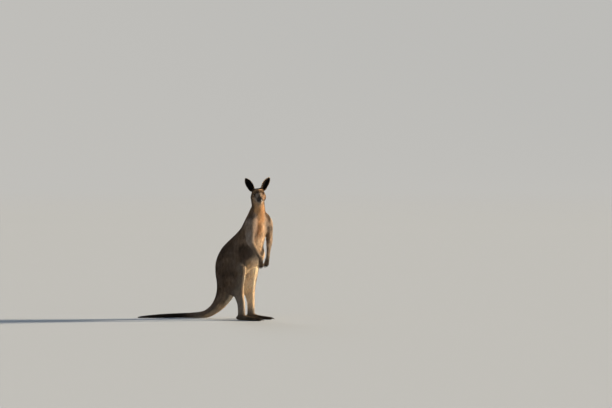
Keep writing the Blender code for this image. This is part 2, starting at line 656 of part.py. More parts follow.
# Each limb is lifted out of the body by a hull that wraps it, and then parted at its joints.
for name, side in SIDES.items():
    arm = ARMS[name]
    path, thick = arm_line(arm)
    wrap = []
    for (p, q), (r, t) in zip(zip(path[1:], path[2:]), zip(thick[1:], thick[2:])):
        wrap.append((p, q, max(r) + 0.006, max(t) + 0.006))
    region = joined("arm_region_" + name, [tube([p, q], [a, b], 4, 16) for p, q, a, b in wrap])
    remesh = region.modifiers.new("fuse", "REMESH")
    remesh.mode, remesh.voxel_size = "VOXEL", 0.009
    thin = region.modifiers.new("thin", "DECIMATE")
    thin.ratio = 0.07
    applied(region)
    wide = grown(region, "arm_wide_" + name, SKIN_GAP)
    limb = keep_largest(combined(copied(body, "arm_" + name), region, "INTERSECT"))
    combined(body, wide, "DIFFERENCE")
    e, s, w = Vector(arm["elbow"]), Vector(arm["shoulder"]), Vector(arm["wrist"])
    upper, lower = parted(limb, e + Vector((-0.008, 0, -0.006)), ((s - e).normalized() + (e - w).normalized()), "upper_arm_" + name, "arm_low_" + name)
    nodes["upper_arm_" + name] = keep_largest(upper)
    lower = keep_largest(lower)
    cut, axis = w + (w - e).normalized() * 0.002, (w - e).normalized()
    nodes["forearm_" + name] = keep_largest(halved(lower, "forearm_" + name, cut, -axis))
    bpy.data.objects.remove(lower)
    hand = fused("hand_whole", arm_shapes(name, 9) + hand_shapes(name), VOXEL_PAW, 2, 430)
    nodes["hand_" + name] = keep_largest(halved(hand, "hand_" + name, cut, axis))
    bpy.data.objects.remove(hand)
    for cutter in (region, wide):
        cutter.hide_render = True

for name, side in SIDES.items():
    region = hull("leg_region_" + name, [
        ball((-0.135, side * 0.165, 0.505), (0.175, 0.105, 0.150), around=16),
        ball((-0.018, side * 0.150, 0.446), (0.130, 0.085, 0.140), around=16),
        ball((0.000, side * 0.120, 0.200), (0.095, 0.070, 0.100), around=16),
        ball((0.000, side * 0.110, 0.020), (0.090, 0.070, 0.060), around=16),
    ])
    wide = grown(region, "leg_wide_" + name, SKIN_GAP)
    limb = keep_largest(combined(copied(body, "leg_" + name), region, "INTERSECT"))
    combined(body, wide, "DIFFERENCE")
    knee, fold = Vector((0.085, side * 0.13, 0.455)), Vector((-0.120, side * 0.11, 0.290))
    slope = (knee - fold).normalized()
    upper, lower = parted(limb, knee.lerp(fold, 0.5), Vector((-slope.z, 0, slope.x)), "thigh_" + name, "leg_low_" + name)
    nodes["thigh_" + name] = keep_largest(upper)
    lower = keep_largest(lower)
    cut, axis = Vector((0.004, side * 0.095, 0.066)), Vector((0.10, 0, 1)).normalized()
    nodes["shank_" + name] = keep_largest(halved(lower, "shank_" + name, cut, axis))
    bpy.data.objects.remove(lower)
    shank_rows = [mirror_y(r, side) for r in SHANK[7:]]
    foot = fused("foot_whole", foot_shapes(side) + [tube([r[:3] for r in shank_rows], [(r[3], (r[4] + r[5]) / 2) for r in shank_rows], 20, 28)],
                 VOXEL_PAW, 4, 380)
    foot_cut = halved(foot, "foot_trim", cut, -axis)
    bpy.data.objects.remove(foot)
    nodes["foot_" + name] = keep_largest(halved(foot_cut, "foot_" + name, (0, 0, 0), (0, 0, 1), 0.0))
    bpy.data.objects.remove(foot_cut)
    for cutter in (region, wide):
        cutter.hide_render = True

# Neck, trunk and tail are parted by planes across the long body.
neck, trunk = parted(keep_largest(body), Vector((0.122, 0, 1.020)), (-0.10, 0, 1), "neck_whole", "trunk_whole")
nodes["neck"] = keep_largest(halved(keep_largest(neck), "neck", NECK_CUT, -NECK_UP))
bpy.data.objects.remove(neck)
rest, trunk_only = parted(keep_largest(trunk), Vector((-0.262, 0, 0.245)), (-0.50, 0, -0.86), "tail_whole", "trunk")
nodes["trunk"] = keep_largest(trunk_only)
tail = keep_largest(rest)
ground = halved(tail, "tail_ground", (0, 0, 0), (0, 0, 1), 0.0)
bpy.data.objects.remove(tail)
far, near = parted(ground, Vector((-0.500, -0.027, 0.04)), (-1, -0.22, 0), "tail_far", "tail_base")
nodes["tail_base"] = keep_largest(near)
tip, middle = parted(far, Vector((-0.790, -0.118, 0.03)), (-1, -0.42, 0), "tail_tip", "tail_middle")
nodes["tail_tip"], nodes["tail_middle"] = keep_largest(tip), keep_largest(middle)

# Hind claws, trimmed to the toe that each grows from.
CLAWS = {
    "claw_long": ((0.208, 0, 0.0165), (0.256, -0.002, 0.0050), 0.0078, 0.0070),
    "claw_outer": ((0.156, 0.028, 0.0140), (0.194, 0.033, 0.0042), 0.0062, 0.0055),
}
for name, side in SIDES.items():
    trim = grown(nodes["foot_" + name], "foot_trim_" + name, SKIN_GAP)
    for claw, (root, tip_at, thick, wide) in CLAWS.items():
        horn = joined(claw + "_" + name, [claw_shape(side, root, tip_at, thick, wide)])
        nodes[claw + "_" + name] = keep_largest(combined(horn, trim, "DIFFERENCE"))
    trim.hide_render = True

# Eyes sit in sockets cut from the head, and the ears end on its surface.
for name, side in SIDES.items():
    at = HEAD @ Vector(mirror_y(EYE_AT, side))
    socket = joined("socket_" + name, [ball(at, (EYE_RADIUS + 0.0006,) * 3, around=16)])
    socket.hide_render = True
    combined(nodes["head"], socket, "DIFFERENCE")
    eye = bmesh.new()
    bmesh.ops.create_uvsphere(eye, u_segments=16, v_segments=9, radius=EYE_RADIUS)
    nodes["eye_" + name] = joined("eye_" + name, [moved(eye, Matrix.Translation(at))])
trim = grown(nodes["head"], "head_trim", SKIN_GAP)
for name, side in SIDES.items():
    ear = joined("ear_" + name, [ear_sheet(side)])
    wall = ear.modifiers.new("wall", "SOLIDIFY")
    wall.thickness, wall.offset, wall.use_even_offset = EAR_WALL, 0.0, True
    applied(ear)
    nodes["ear_" + name] = keep_largest(combined(ear, trim, "DIFFERENCE"))
trim.hide_render = True

# ------------------------------------------------------------------ finish: materials, place, collections
COLOURS = {
    "trunk": (0.105, 0.078, 0.055), "neck": (0.125, 0.092, 0.065), "head": (0.115, 0.088, 0.066),
    "tail_base": (0.095, 0.072, 0.053), "tail_middle": (0.060, 0.047, 0.038), "tail_tip": (0.018, 0.015, 0.013),
    "thigh": (0.110, 0.083, 0.060), "shank": (0.130, 0.105, 0.082), "foot": (0.045, 0.036, 0.030),
    "upper": (0.135, 0.105, 0.078), "forearm": (0.120, 0.095, 0.075), "hand": (0.022, 0.018, 0.016),
    "ear": (0.085, 0.066, 0.052), "eye": (0.008, 0.005, 0.004), "claw": (0.012, 0.010, 0.009),
}
shift = Matrix.Translation((-ORIGIN[0], -ORIGIN[1], 0))
for name, obj in nodes.items():
    key = name if name in COLOURS else name.split("_")[0]
    horny = key in ("eye", "claw")
    material = bpy.data.materials.new(name + "_surface")
    material.use_nodes = True
    shader = material.node_tree.nodes["Principled BSDF"]
    shader.inputs["Base Color"].default_value = (*COLOURS[key], 1)
    shader.inputs["Roughness"].default_value = 0.12 if key == "eye" else 0.35 if horny else 0.85
    shader.inputs["Metallic"].default_value = 0.0
    obj.data.materials.clear()
    obj.data.materials.append(material)
    obj.data.transform(shift)
    obj.data.shade_smooth()
    obj.data.set_sharp_from_angle(angle=math.radians(50))
    obj.name = name
for obj in list(bpy.context.scene.collection.objects):
    bpy.context.scene.collection.objects.unlink(obj)
    (parts if obj.name in nodes and nodes[obj.name] is obj else cutters).objects.link(obj)
for obj in cutters.objects:
    obj.hide_render = True
    obj.display_type = "WIRE"
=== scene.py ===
"""The looks of a life-size eastern grey kangaroo, standing upright and looking over its right shoulder.

One skin stands for every flesh node of the frame and lies inside them by the coat's depth. The coat
is solid mesh: small spindle-shaped tufts that follow the lie of the hair. Eyes, lids' margins, claws,
lashes and whiskers are pieces of their own. Sizes are metres in the body frame, whose origin is on
the ground between the ankles; ORIGIN moves it to the model frame.
"""

import json
import math
import time

import bmesh
import bpy
import numpy as np
from mathutils import Matrix, Vector
from mathutils.bvhtree import BVHTree

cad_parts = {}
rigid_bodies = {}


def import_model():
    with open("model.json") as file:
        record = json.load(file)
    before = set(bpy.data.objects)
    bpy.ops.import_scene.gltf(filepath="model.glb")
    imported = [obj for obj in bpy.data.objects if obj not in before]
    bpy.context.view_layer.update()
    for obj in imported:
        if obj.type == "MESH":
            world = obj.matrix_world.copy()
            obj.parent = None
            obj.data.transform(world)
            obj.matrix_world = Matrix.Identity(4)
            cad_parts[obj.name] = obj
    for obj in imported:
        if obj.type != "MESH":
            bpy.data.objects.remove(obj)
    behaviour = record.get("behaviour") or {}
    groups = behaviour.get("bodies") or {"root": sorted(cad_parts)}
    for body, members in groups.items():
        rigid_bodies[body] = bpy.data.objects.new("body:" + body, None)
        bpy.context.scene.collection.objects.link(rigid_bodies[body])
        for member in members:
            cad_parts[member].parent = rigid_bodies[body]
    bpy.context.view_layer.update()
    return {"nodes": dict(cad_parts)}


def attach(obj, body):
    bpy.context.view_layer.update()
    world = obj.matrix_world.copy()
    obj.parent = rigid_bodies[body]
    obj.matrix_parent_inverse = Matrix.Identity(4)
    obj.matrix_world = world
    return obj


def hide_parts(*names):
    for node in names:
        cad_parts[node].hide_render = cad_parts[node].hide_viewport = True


STARTED = time.perf_counter()
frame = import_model()


def said(what):
    print(f"[{time.perf_counter() - STARTED:6.1f} s] {what}", flush=True)


# ------------------------------------------------------------------ driving sizes
ORIGIN = (-0.36863, -0.07414)  # body-frame X, Y of the model's origin
CHEST_TURN = -30.0           # degrees the chest is turned towards the animal's right
HEAD_AT = (0.140, -0.004, 1.219)
HEAD_YAW, HEAD_PITCH, HEAD_ROLL = -52.5, 14.5, 7.0
EYE_RADIUS = 0.0138
EYE_AT = (0.0330, 0.0395, 0.0175)   # in the head frame, for the left eye
EAR_LENGTH, EAR_WIDTH, EAR_WALL = 0.142, 0.070, 0.0036
EAR_ROOT = (-0.040, 0.041, 0.034)   # in the head frame, for the left ear
EAR_LEAN = {1: 43.0, -1: 27.0}      # degrees each ear leans outwards, left and right
WITHERS = ((0.188, 0.044, 0.990), (0.052, 0.050, 0.052))  # the raised left shoulder
FOOT_SPREAD = 0.095                 # half the distance between the ankles
POUCH_AT, POUCH_SIZE = (0.054, -0.006, 0.640), (0.152, 0.118, 0.142)  # the sagging lower belly

# x, y, z, half width, depth to the back, depth to the belly, turn of the cross-section in degrees
LONG_BODY = [
    (-1.0200, -0.3300, 0.0062, 0.0060, 0.0062, 0.0066, 0),
    (-0.9900, -0.3080, 0.0088, 0.0104, 0.0108, 0.0116, 0),
    (-0.9335, -0.2680, 0.0124, 0.0145, 0.0150, 0.0156, 0),
    (-0.8495, -0.2130, 0.0165, 0.0188, 0.0192, 0.0196, 0),
    (-0.7630, -0.1630, 0.0198, 0.0216, 0.0220, 0.0224, 0),
    (-0.6735, -0.1180, 0.0228, 0.0238, 0.0236, 0.0242, 0),
    (-0.5810, -0.0790, 0.0252, 0.0268, 0.0264, 0.0268, 0),
    (-0.4950, -0.0490, 0.0295, 0.0315, 0.0310, 0.0312, 0),
    (-0.4260, -0.0290, 0.0425, 0.0378, 0.0380, 0.0395, 0),
    (-0.3480, -0.0120, 0.0910, 0.0468, 0.0490, 0.0510, 0),
    (-0.2850, -0.0020, 0.1600, 0.0590, 0.0650, 0.0690, 0),
    (-0.2360, 0.0000, 0.2430, 0.0740, 0.0860, 0.0900, 0),
    (-0.2060, 0.0000, 0.3300, 0.0920, 0.1130, 0.1150, 0),
    (-0.1840, 0.0000, 0.4150, 0.1070, 0.1500, 0.1380, 0),
    (-0.1560, 0.0000, 0.5050, 0.1200, 0.1760, 0.1700, 0),
    (-0.1120, 0.0000, 0.5950, 0.1330, 0.1730, 0.2050, -2),
    (-0.0500, 0.0000, 0.6850, 0.1360, 0.1470, 0.2180, -6),
    (0.0180, 0.0000, 0.7720, 0.1300, 0.1210, 0.1900, -13),
    (0.0730, 0.0000, 0.8500, 0.1220, 0.1110, 0.1480, -20),
    (0.1040, 0.0000, 0.9200, 0.1180, 0.1040, 0.1180, -27),
    (0.1200, 0.0000, 0.9850, 0.1040, 0.0870, 0.0950, -32),
    (0.1290, 0.0015, 1.0450, 0.0815, 0.0745, 0.0775, -38),
    (0.1340, 0.0062, 1.1000, 0.0640, 0.0655, 0.0670, -46),
    (0.1265, 0.0095, 1.1550, 0.0640, 0.0645, 0.0640, -52),
    (0.1180, 0.0150, 1.2050, 0.0600, 0.0600, 0.0600, -55),
]

# x along the skull, z of the section's middle, half width, height above, depth below, squareness
SKULL = [
    (-0.071, -0.006, 0.0230, 0.0230, 0.0290, 2.0),
    (-0.064, -0.007, 0.0400, 0.0395, 0.0480, 2.0),
    (-0.046, -0.008, 0.0580, 0.0570, 0.0670, 2.0),
    (-0.022, -0.010, 0.0675, 0.0650, 0.0720, 2.05),
    (0.004, -0.010, 0.0645, 0.0640, 0.0690, 2.1),
    (0.028, -0.010, 0.0550, 0.0580, 0.0640, 2.2),
    (0.048, -0.012, 0.0465, 0.0490, 0.0590, 2.25),
    (0.068, -0.014, 0.0390, 0.0405, 0.0540, 2.3),
    (0.088, -0.016, 0.0335, 0.0335, 0.0490, 2.35),
    (0.106, -0.018, 0.0300, 0.0285, 0.0440, 2.4),
    (0.121, -0.020, 0.0265, 0.0240, 0.0370, 2.4),
    (0.131, -0.021, 0.0210, 0.0185, 0.0270, 2.3),
    (0.1380, -0.021, 0.0110, 0.0100, 0.0130, 2.0),
]

# The arms: shoulder, elbow, wrist and where the fingers end, in the body frame.
ARMS = {
    "right": dict(shoulder=(0.112, -0.108, 0.950), elbow=(0.128, -0.149, 0.772),
                  wrist=(0.239, -0.133, 0.604), tip=(0.236, -0.131, 0.494)),
    "left": dict(shoulder=(0.204, 0.082, 0.952), elbow=(0.204, 0.106, 0.772),
                 wrist=(0.2675, -0.046, 0.611), tip=(0.244, -0.062, 0.508)),
}
# share of the way along the arm's line, half width across, half depth
ARM_THICK = [
    (-0.06, 0.034, 0.042), (0.00, 0.042, 0.054), (0.12, 0.044, 0.060), (0.28, 0.038, 0.054),
    (0.42, 0.0320, 0.0440), (0.50, 0.0305, 0.0385), (0.57, 0.0300, 0.0350), (0.66, 0.0260, 0.0290),
    (0.75, 0.0212, 0.0238), (0.85, 0.0188, 0.0200), (0.95, 0.0176, 0.0180), (1.00, 0.0180, 0.0172),
    (1.05, 0.0185, 0.0162),
]

# The hind leg, for the left side: x, y, z, half width, half depth to the front, half depth to the back
THIGH = [
    (-0.225, 0.070, 0.520, 0.060, 0.080, 0.080),
    (-0.165, 0.100, 0.545, 0.072, 0.110, 0.110),
    (-0.095, 0.118, 0.550, 0.066, 0.105, 0.110),
    (-0.030, 0.128, 0.536, 0.055, 0.082, 0.088),
    (0.016, 0.131, 0.516, 0.046, 0.058, 0.066),
    (0.044, 0.131, 0.492, 0.038, 0.036, 0.045),
]
# The mass of the haunch, from the hip down to the back of the knee, in the same columns
HAUNCH = [
    (-0.118, 0.074, 0.632, 0.040, 0.085, 0.085),
    (-0.130, 0.088, 0.580, 0.064, 0.135, 0.138),
    (-0.135, 0.095, 0.520, 0.075, 0.152, 0.150),
    (-0.142, 0.095, 0.455, 0.071, 0.146, 0.138),
    (-0.142, 0.095, 0.400, 0.064, 0.128, 0.125),
    (-0.122, 0.100, 0.350, 0.054, 0.092, 0.102),
    (-0.086, 0.108, 0.308, 0.045, 0.068, 0.076),
    (-0.050, 0.112, 0.270, 0.036, 0.048, 0.054),
]
SHANK = [
    (0.024, 0.130, 0.510, 0.040, 0.040, 0.050),
    (0.016, 0.129, 0.470, 0.046, 0.052, 0.062),
    (0.002, 0.125, 0.410, 0.046, 0.056, 0.078),
    (-0.008, 0.119, 0.345, 0.042, 0.054, 0.082),
    (-0.010, 0.112, 0.285, 0.036, 0.049, 0.074),
    (-0.006, 0.106, 0.230, 0.0300, 0.0430, 0.0590),
    (0.000, 0.101, 0.175, 0.0258, 0.0395, 0.0430),
    (0.003, 0.097, 0.120, 0.0240, 0.0380, 0.0370),
    (0.004, 0.095, 0.075, 0.0245, 0.0380, 0.0390),
    (0.004, 0.095, 0.035, 0.0240, 0.0370, 0.0400),
]
# The foot, along its own length from the heel: x, z, half width, height above, depth below
FOOT = [
    (-0.052, 0.0230, 0.0120, 0.0120, 0.0120),
    (-0.040, 0.0250, 0.0190, 0.0220, 0.0230),
    (-0.010, 0.0280, 0.0235, 0.0300, 0.0300),
    (0.030, 0.0270, 0.0240, 0.0290, 0.0290),
    (0.070, 0.0210, 0.0235, 0.0215, 0.0230),
    (0.108, 0.0180, 0.0240, 0.0180, 0.0200),
    (0.138, 0.0165, 0.0215, 0.0165, 0.0185),
    (0.168, 0.0150, 0.0168, 0.0150, 0.0170),
    (0.194, 0.0140, 0.0148, 0.0140, 0.0160),
    (0.214, 0.0125, 0.0128, 0.0125, 0.0145),
    (0.223, 0.0115, 0.0070, 0.0080, 0.0100),
]
TOES_OUT = 3.0  # degrees each foot points outwards
# root x, root y, z, tip x, tip y, z, root radius, tip radius, in the left foot's frame
TOE_5 = (0.088, 0.0185, 0.0140, 0.166, 0.0290, 0.0115, 0.0130, 0.0098)
TOE_3 = (0.084, -0.0180, 0.0130, 0.128, -0.0240, 0.0090, 0.0100, 0.0066)
TOE_2 = (0.084, -0.0230, 0.0120, 0.121, -0.0315, 0.0085, 0.0085, 0.0060)


# ------------------------------------------------------------------ modelling helpers
def link(obj, collection=None):
    (collection or bpy.context.scene.collection).objects.link(obj)
    return obj


def spline(rows, count):
    """Rows of numbers resampled along a smooth curve through them."""
    rows = np.array(rows, float)
    first, last = 2 * rows[0] - rows[1], 2 * rows[-1] - rows[-2]
    p = np.vstack([first, rows, last])
    step = np.linalg.norm(np.diff(rows[:, :3], axis=0), axis=1)
    at = np.concatenate([[0], np.cumsum(step)])
    knots = np.concatenate([[-step[0]], at, [at[-1] + step[-1]]])
    out = []
    for t in np.linspace(0, at[-1], count):
        i = min(max(int(np.searchsorted(at, t, side="right")) - 1, 0), len(rows) - 2)
        k, q = knots[i:i + 4], p[i:i + 4]
        u = (t - k[1]) / (k[2] - k[1])
        m1 = (q[2] - q[0]) / (k[2] - k[0]) * (k[2] - k[1])
        m2 = (q[3] - q[1]) / (k[3] - k[1]) * (k[2] - k[1])
        out.append((2 * u**3 - 3 * u**2 + 1) * q[1] + (u**3 - 2 * u**2 + u) * m1
                   + (-2 * u**3 + 3 * u**2) * q[2] + (u**3 - u**2) * m2)
    return np.array(out)


def loft(rings):
    """A closed mesh from rings of equally many points, with a fan over each end."""
    bm = bmesh.new()
    rows = [[bm.verts.new(p) for p in ring] for ring in rings]
    for a, b in zip(rows, rows[1:]):
        for i in range(len(a)):
            j = (i + 1) % len(a)
            bm.faces.new((a[i], a[j], b[j], b[i]))
    for ring, flip in ((rows[0], True), (rows[-1], False)):
        middle = bm.verts.new(sum((v.co for v in ring), Vector()) / len(ring))
        for i in range(len(ring)):
            j = (i + 1) % len(ring)
            bm.faces.new((ring[j], ring[i], middle) if flip else (ring[i], ring[j], middle))
    bmesh.ops.recalc_face_normals(bm, faces=bm.faces)
    return bm


def section(at, side, up, half, above, below, square=2.0, sides=40):
    """One ring: half wide each way along side, above along up and below against it."""
    ring = []
    for i in range(sides):
        a = 2 * math.pi * i / sides
        c, s = math.cos(a), math.sin(a)
        x = math.copysign(abs(c) ** (2 / square), c) * half
        y = math.copysign(abs(s) ** (2 / square), s) * (above if s > 0 else below)
        ring.append(Vector(at) + Vector(side) * x + Vector(up) * y)
    return ring


def rounded(rings):
    """The rings with both ends closed to a dome, so that a loft ends softly."""
    out = list(rings)
    for end in (0, -1):
        ring = rings[end]
        centre = sum(ring, Vector()) / len(ring)
        inner = sum(rings[1 if end == 0 else -2], Vector()) / len(ring)
        out_dir = (centre - inner).normalized()
        reach = min((p - centre).length for p in ring) * 0.8
        caps = [[centre + (p - centre) * math.cos(a) + out_dir * reach * math.sin(a) for p in ring]
                for a in (0.45, 0.85, 1.2)]
        out = (caps[::-1] + out) if end == 0 else (out + caps)
    return out


def frames(path, across):
    """For each point of a path: the tangent, the side nearest to across, and the third direction."""
    path = np.array(path, float)
    tangent = np.gradient(path, axis=0)
    found = []
    for t, a in zip(tangent, across):
        t = Vector(t).normalized()
        side = Vector(a) - t * Vector(a).dot(t)
        side.normalize()
        found.append((t, side, t.cross(side)))
    return found


def long_body(low=-9.0, high=9.0, count=170):
    """The loft of tail, trunk and neck, or the stretch of it between two heights."""
    rows = spline(LONG_BODY, count)
    across = [(-math.sin(math.radians(r[6])), math.cos(math.radians(r[6])), 0) for r in rows]
    rings = [section(r[:3], side, up, r[3], r[4], r[5], 2.1, 48)
             for r, (t, side, up) in zip(rows, frames(rows[:, :3], across)) if low <= r[2] <= high]
    return loft(rounded(rings))


def tube(points, radii, count=24, sides=20, across=(0, 1, 0)):
    """A round-ended tube through points, with a radius or (half width, half depth) at each."""
    rows = [list(p) + list(r if hasattr(r, "__len__") else (r, r)) for p, r in zip(points, radii)]
    rows = spline(rows, count)
    rings = [section(r[:3], side, up, r[3], r[4], r[4], 2.0, sides)
             for r, (t, side, up) in zip(rows, frames(rows[:, :3], [across] * len(rows)))]
    return loft(rounded(rings))


def ball(at, radii, turn=(0, 0, 0), around=32):
    bm = bmesh.new()
    bmesh.ops.create_uvsphere(bm, u_segments=around, v_segments=around * 5 // 8, radius=1.0)
    matrix = Matrix.LocRotScale(Vector(at), Matrix.Rotation(math.radians(turn[2]), 3, "Z")
                                @ Matrix.Rotation(math.radians(turn[1]), 3, "Y")
                                @ Matrix.Rotation(math.radians(turn[0]), 3, "X"), Vector(radii))
    bmesh.ops.transform(bm, matrix=matrix, verts=bm.verts)
    return bm


def moved(bm, matrix):
    bmesh.ops.transform(bm, matrix=matrix, verts=bm.verts)
    return bm


def joined(name, shapes):
    whole = bmesh.new()
    for bm in shapes:
        piece = bpy.data.meshes.new(name)
        bm.to_mesh(piece)
        bm.free()
        whole.from_mesh(piece)
        bpy.data.meshes.remove(piece)
    mesh = bpy.data.meshes.new(name)
    whole.to_mesh(mesh)
    whole.free()
    return link(bpy.data.objects.new(name, mesh))


def applied(obj):
    """The object with its modifiers made part of its mesh."""
    graph = bpy.context.evaluated_depsgraph_get()
    mesh = bpy.data.meshes.new_from_object(obj.evaluated_get(graph))
    obj.modifiers.clear()
    obj.data = mesh
    return obj


# ------------------------------------------------------------------ the animal's own frames
def turned(yaw, pitch=0.0, roll=0.0):
    return (Matrix.Rotation(math.radians(yaw), 4, "Z") @ Matrix.Rotation(math.radians(pitch), 4, "Y")
            @ Matrix.Rotation(math.radians(roll), 4, "X"))


HEAD = Matrix.Translation(HEAD_AT) @ turned(HEAD_YAW, HEAD_PITCH, HEAD_ROLL)


def mirror_y(p, side):
    return (p[0], p[1] * side, *p[2:])


def foot_frame(side):
    return Matrix.Translation((0.004, side * FOOT_SPREAD, 0)) @ turned(side * TOES_OUT)


def mirrored_tube(points, radii, side, **more):
    return tube([mirror_y(p, side) for p in points], radii, **more)


# ------------------------------------------------------------------ the flesh, as shapes to fuse
def ear_place(side):
    """The ear leans outwards and a little back, and its mouth looks forwards and slightly out."""
    return (HEAD @ Matrix.Translation(mirror_y(EAR_ROOT, side)) @ Matrix.Rotation(math.radians(-EAR_LEAN[side] * side), 4, "X")
            @ Matrix.Rotation(math.radians(-14), 4, "Y") @ Matrix.Rotation(math.radians(8 * side), 4, "Z"))


def skull_shapes():
    rows = spline([(r[0], 0, *r[1:]) for r in SKULL], 60)
    rings = [section((r[0], 0, r[2]), (0, 1, 0), (0, 0, 1), r[3], r[4], r[5], r[6], 44) for r in rows]
    shapes = [loft(rounded(rings))]
    for side in (1, -1):
        shapes += [
            ball((0.022, side * 0.0270, 0.0260), (0.0380, 0.0245, 0.0190), (0, 14, side * 14)),   # brow
            ball((0.004, side * 0.0345, -0.0120), (0.0600, 0.0270, 0.0290), (0, 6, side * 13)),   # cheekbone
            ball((-0.022, side * 0.0420, -0.0360), (0.0480, 0.0345, 0.0430), (0, 8, side * 8)),   # jaw muscle
            ball((0.104, side * 0.0150, -0.0290), (0.0310, 0.0160, 0.0200), (0, 6, side * 7)),    # upper lip
            ball((-0.042, side * 0.0330, 0.0240), (0.0290, 0.0240, 0.0270)),                      # ear root
            ball((-0.038, side * 0.0440, 0.0330), (0.0200, 0.0170, 0.0200)),                      # its outer side
        ]
    shapes += [
        ball((0.094, 0, -0.0520), (0.0340, 0.0200, 0.0140), (0, 4, 0)),      # chin
        ball((0.1235, 0, -0.0125), (0.0135, 0.0205, 0.0135), (0, 20, 0)),    # nose pad
        ball((0.066, 0, 0.0070), (0.0530, 0.0240, 0.0210), (0, 22, 0)),      # bridge of the nose
        ball((-0.024, 0, -0.0440), (0.0570, 0.0580, 0.0760), (0, 8, 0)),     # nape, where the neck meets the skull
    ]
    shapes = [moved(bm, HEAD) for bm in shapes]
    for side in (1, -1):   # the foot of each ear, which closes its cup below
        shapes.append(moved(ball((0.003, 0, -0.003), (0.0195, 0.0210, 0.0150)), ear_place(side)))
    return shapes


def ear_sheet(side, rows=10, columns=7):
    """The ear as a cupped leaf: nearly a tube at its root, open above, pointed at the tip."""
    bm = bmesh.new()
    grid = []
    for j in range(rows):
        v = j / (rows - 1)
        if v < 0.44:
            width = 0.5 * EAR_WIDTH * (0.58 + 0.42 * math.sin(math.pi * v / 0.88))
        else:
            width = 0.5 * EAR_WIDTH * max(0.02, 1 - ((v - 0.44) / 0.56) ** 2.1) ** 0.75
        opening = math.radians(132 - 67 * min(1, v / 0.35) - 22 * v)
        radius = width / math.sin(min(opening, math.pi / 2))
        row = []
        for i in range(columns):
            a = (2 * i / (columns - 1) - 1) * opening
            up = EAR_LENGTH * v
            lean = 0.010 * math.sin(math.pi * v)
            row.append(bm.verts.new((radius * (1 - math.cos(a)) - lean, radius * math.sin(a), up)))
        grid.append(row)
    for a, b in zip(grid, grid[1:]):
        for i in range(columns - 1):
            bm.faces.new((a[i], a[i + 1], b[i + 1], b[i]))
    return moved(bm, ear_place(side))


def arm_line(arm):
    """Points along shoulder, elbow and wrist, bent softly at the elbow, and each one's share of the way."""
    s, e, w, t = (Vector(arm[k]) for k in ("shoulder", "elbow", "wrist", "tip"))
    path = []
    for share, across, deep in ARM_THICK:
        if share <= 0.5:
            p = s.lerp(e, share / 0.5)
        elif share <= 1.0:
            p = e.lerp(w, (share - 0.5) / 0.5)
        else:
            p = w + (t - w) * (share - 1.0) * 2.0
        path.append(p)
    return path, [(a, d) for _, a, d in ARM_THICK]


def arm_shapes(name, first=0):
    arm = ARMS[name]
    path, thick = arm_line(arm)
    forward = Vector(arm["wrist"]) - Vector(arm["elbow"])
    across = Vector((-forward.y, forward.x, 0)).normalized()
    shapes = [tube(path[first:], thick[first:], 40, 24, across)]
    if first == 0:
        out = Vector((-math.sin(math.radians(CHEST_TURN)), math.cos(math.radians(CHEST_TURN)), 0)) * (1 if name == "left" else -1)
        e = Vector(arm["elbow"])
        shapes.append(ball(e + Vector((-0.016, 0, 0.006)), (0.022, 0.024, 0.030)))                      # point of the elbow
        shapes.append(ball(Vector(arm["shoulder"]) - out * 0.026 + Vector((0, 0, -0.006)), (0.056, 0.046, 0.066)))  # shoulder
    return shapes


def hand_frame(name):
    arm = ARMS[name]
    down = (Vector(arm["tip"]) - Vector(arm["wrist"])).normalized()
    inward = Vector((-math.sin(math.radians(CHEST_TURN)), math.cos(math.radians(CHEST_TURN)), 0)) * (-1 if name == "left" else 1)
    inward = (inward - down * inward.dot(down)).normalized()
    back = down.cross(inward) * (-1 if name == "left" else 1)
    return Vector(arm["wrist"]), down, inward, back


# For the five fingers: how far across the palm from the thumb side, reach, spread, curl, radius
FINGERS = [
    (-0.0180, 0.038, -0.26, 0.14, 0.0060),
    (-0.0096, 0.050, -0.10, 0.22, 0.0066),
    (0.0000, 0.053, 0.00, 0.24, 0.0068),
    (0.0096, 0.049, 0.09, 0.22, 0.0066),
    (0.0176, 0.040, 0.20, 0.14, 0.0060),
]


def hand_shapes(name, with_claws=True):
    wrist, down, inward, back = hand_frame(name)

    def at(d, i, b):
        return wrist + down * d + inward * i + back * b

    shapes = [tube([at(-0.010, 0, 0), at(0.008, 0, 0), at(0.024, 0, 0.001), at(0.040, 0, 0.001)],
                   [(0.0178, 0.0168), (0.0195, 0.0160), (0.0245, 0.0140), (0.0225, 0.0115)], 16, 20, inward)]
    for across, reach, spread, curl, radius in FINGERS:
        root = at(0.034, across, 0.001)
        knuckle = at(0.034 + reach * 0.58, across + spread * reach * 0.55, 0.004)
        end = at(0.034 + reach * 1.04, across + spread * reach, 0.003 - curl * 0.045)
        shapes.append(tube([root, knuckle, end], [radius * 1.15, radius, radius * 0.86], 12, 12, inward))
        if with_claws:
            claw = at(0.034 + reach * 1.04 + 0.016, across + spread * (reach + 0.008), -curl * 0.045 - 0.0080)
            shapes.append(tube([end, end.lerp(claw, 0.55) + back * 0.0024, claw], [0.0044, 0.0033, 0.0013], 10, 10, inward))
    return shapes


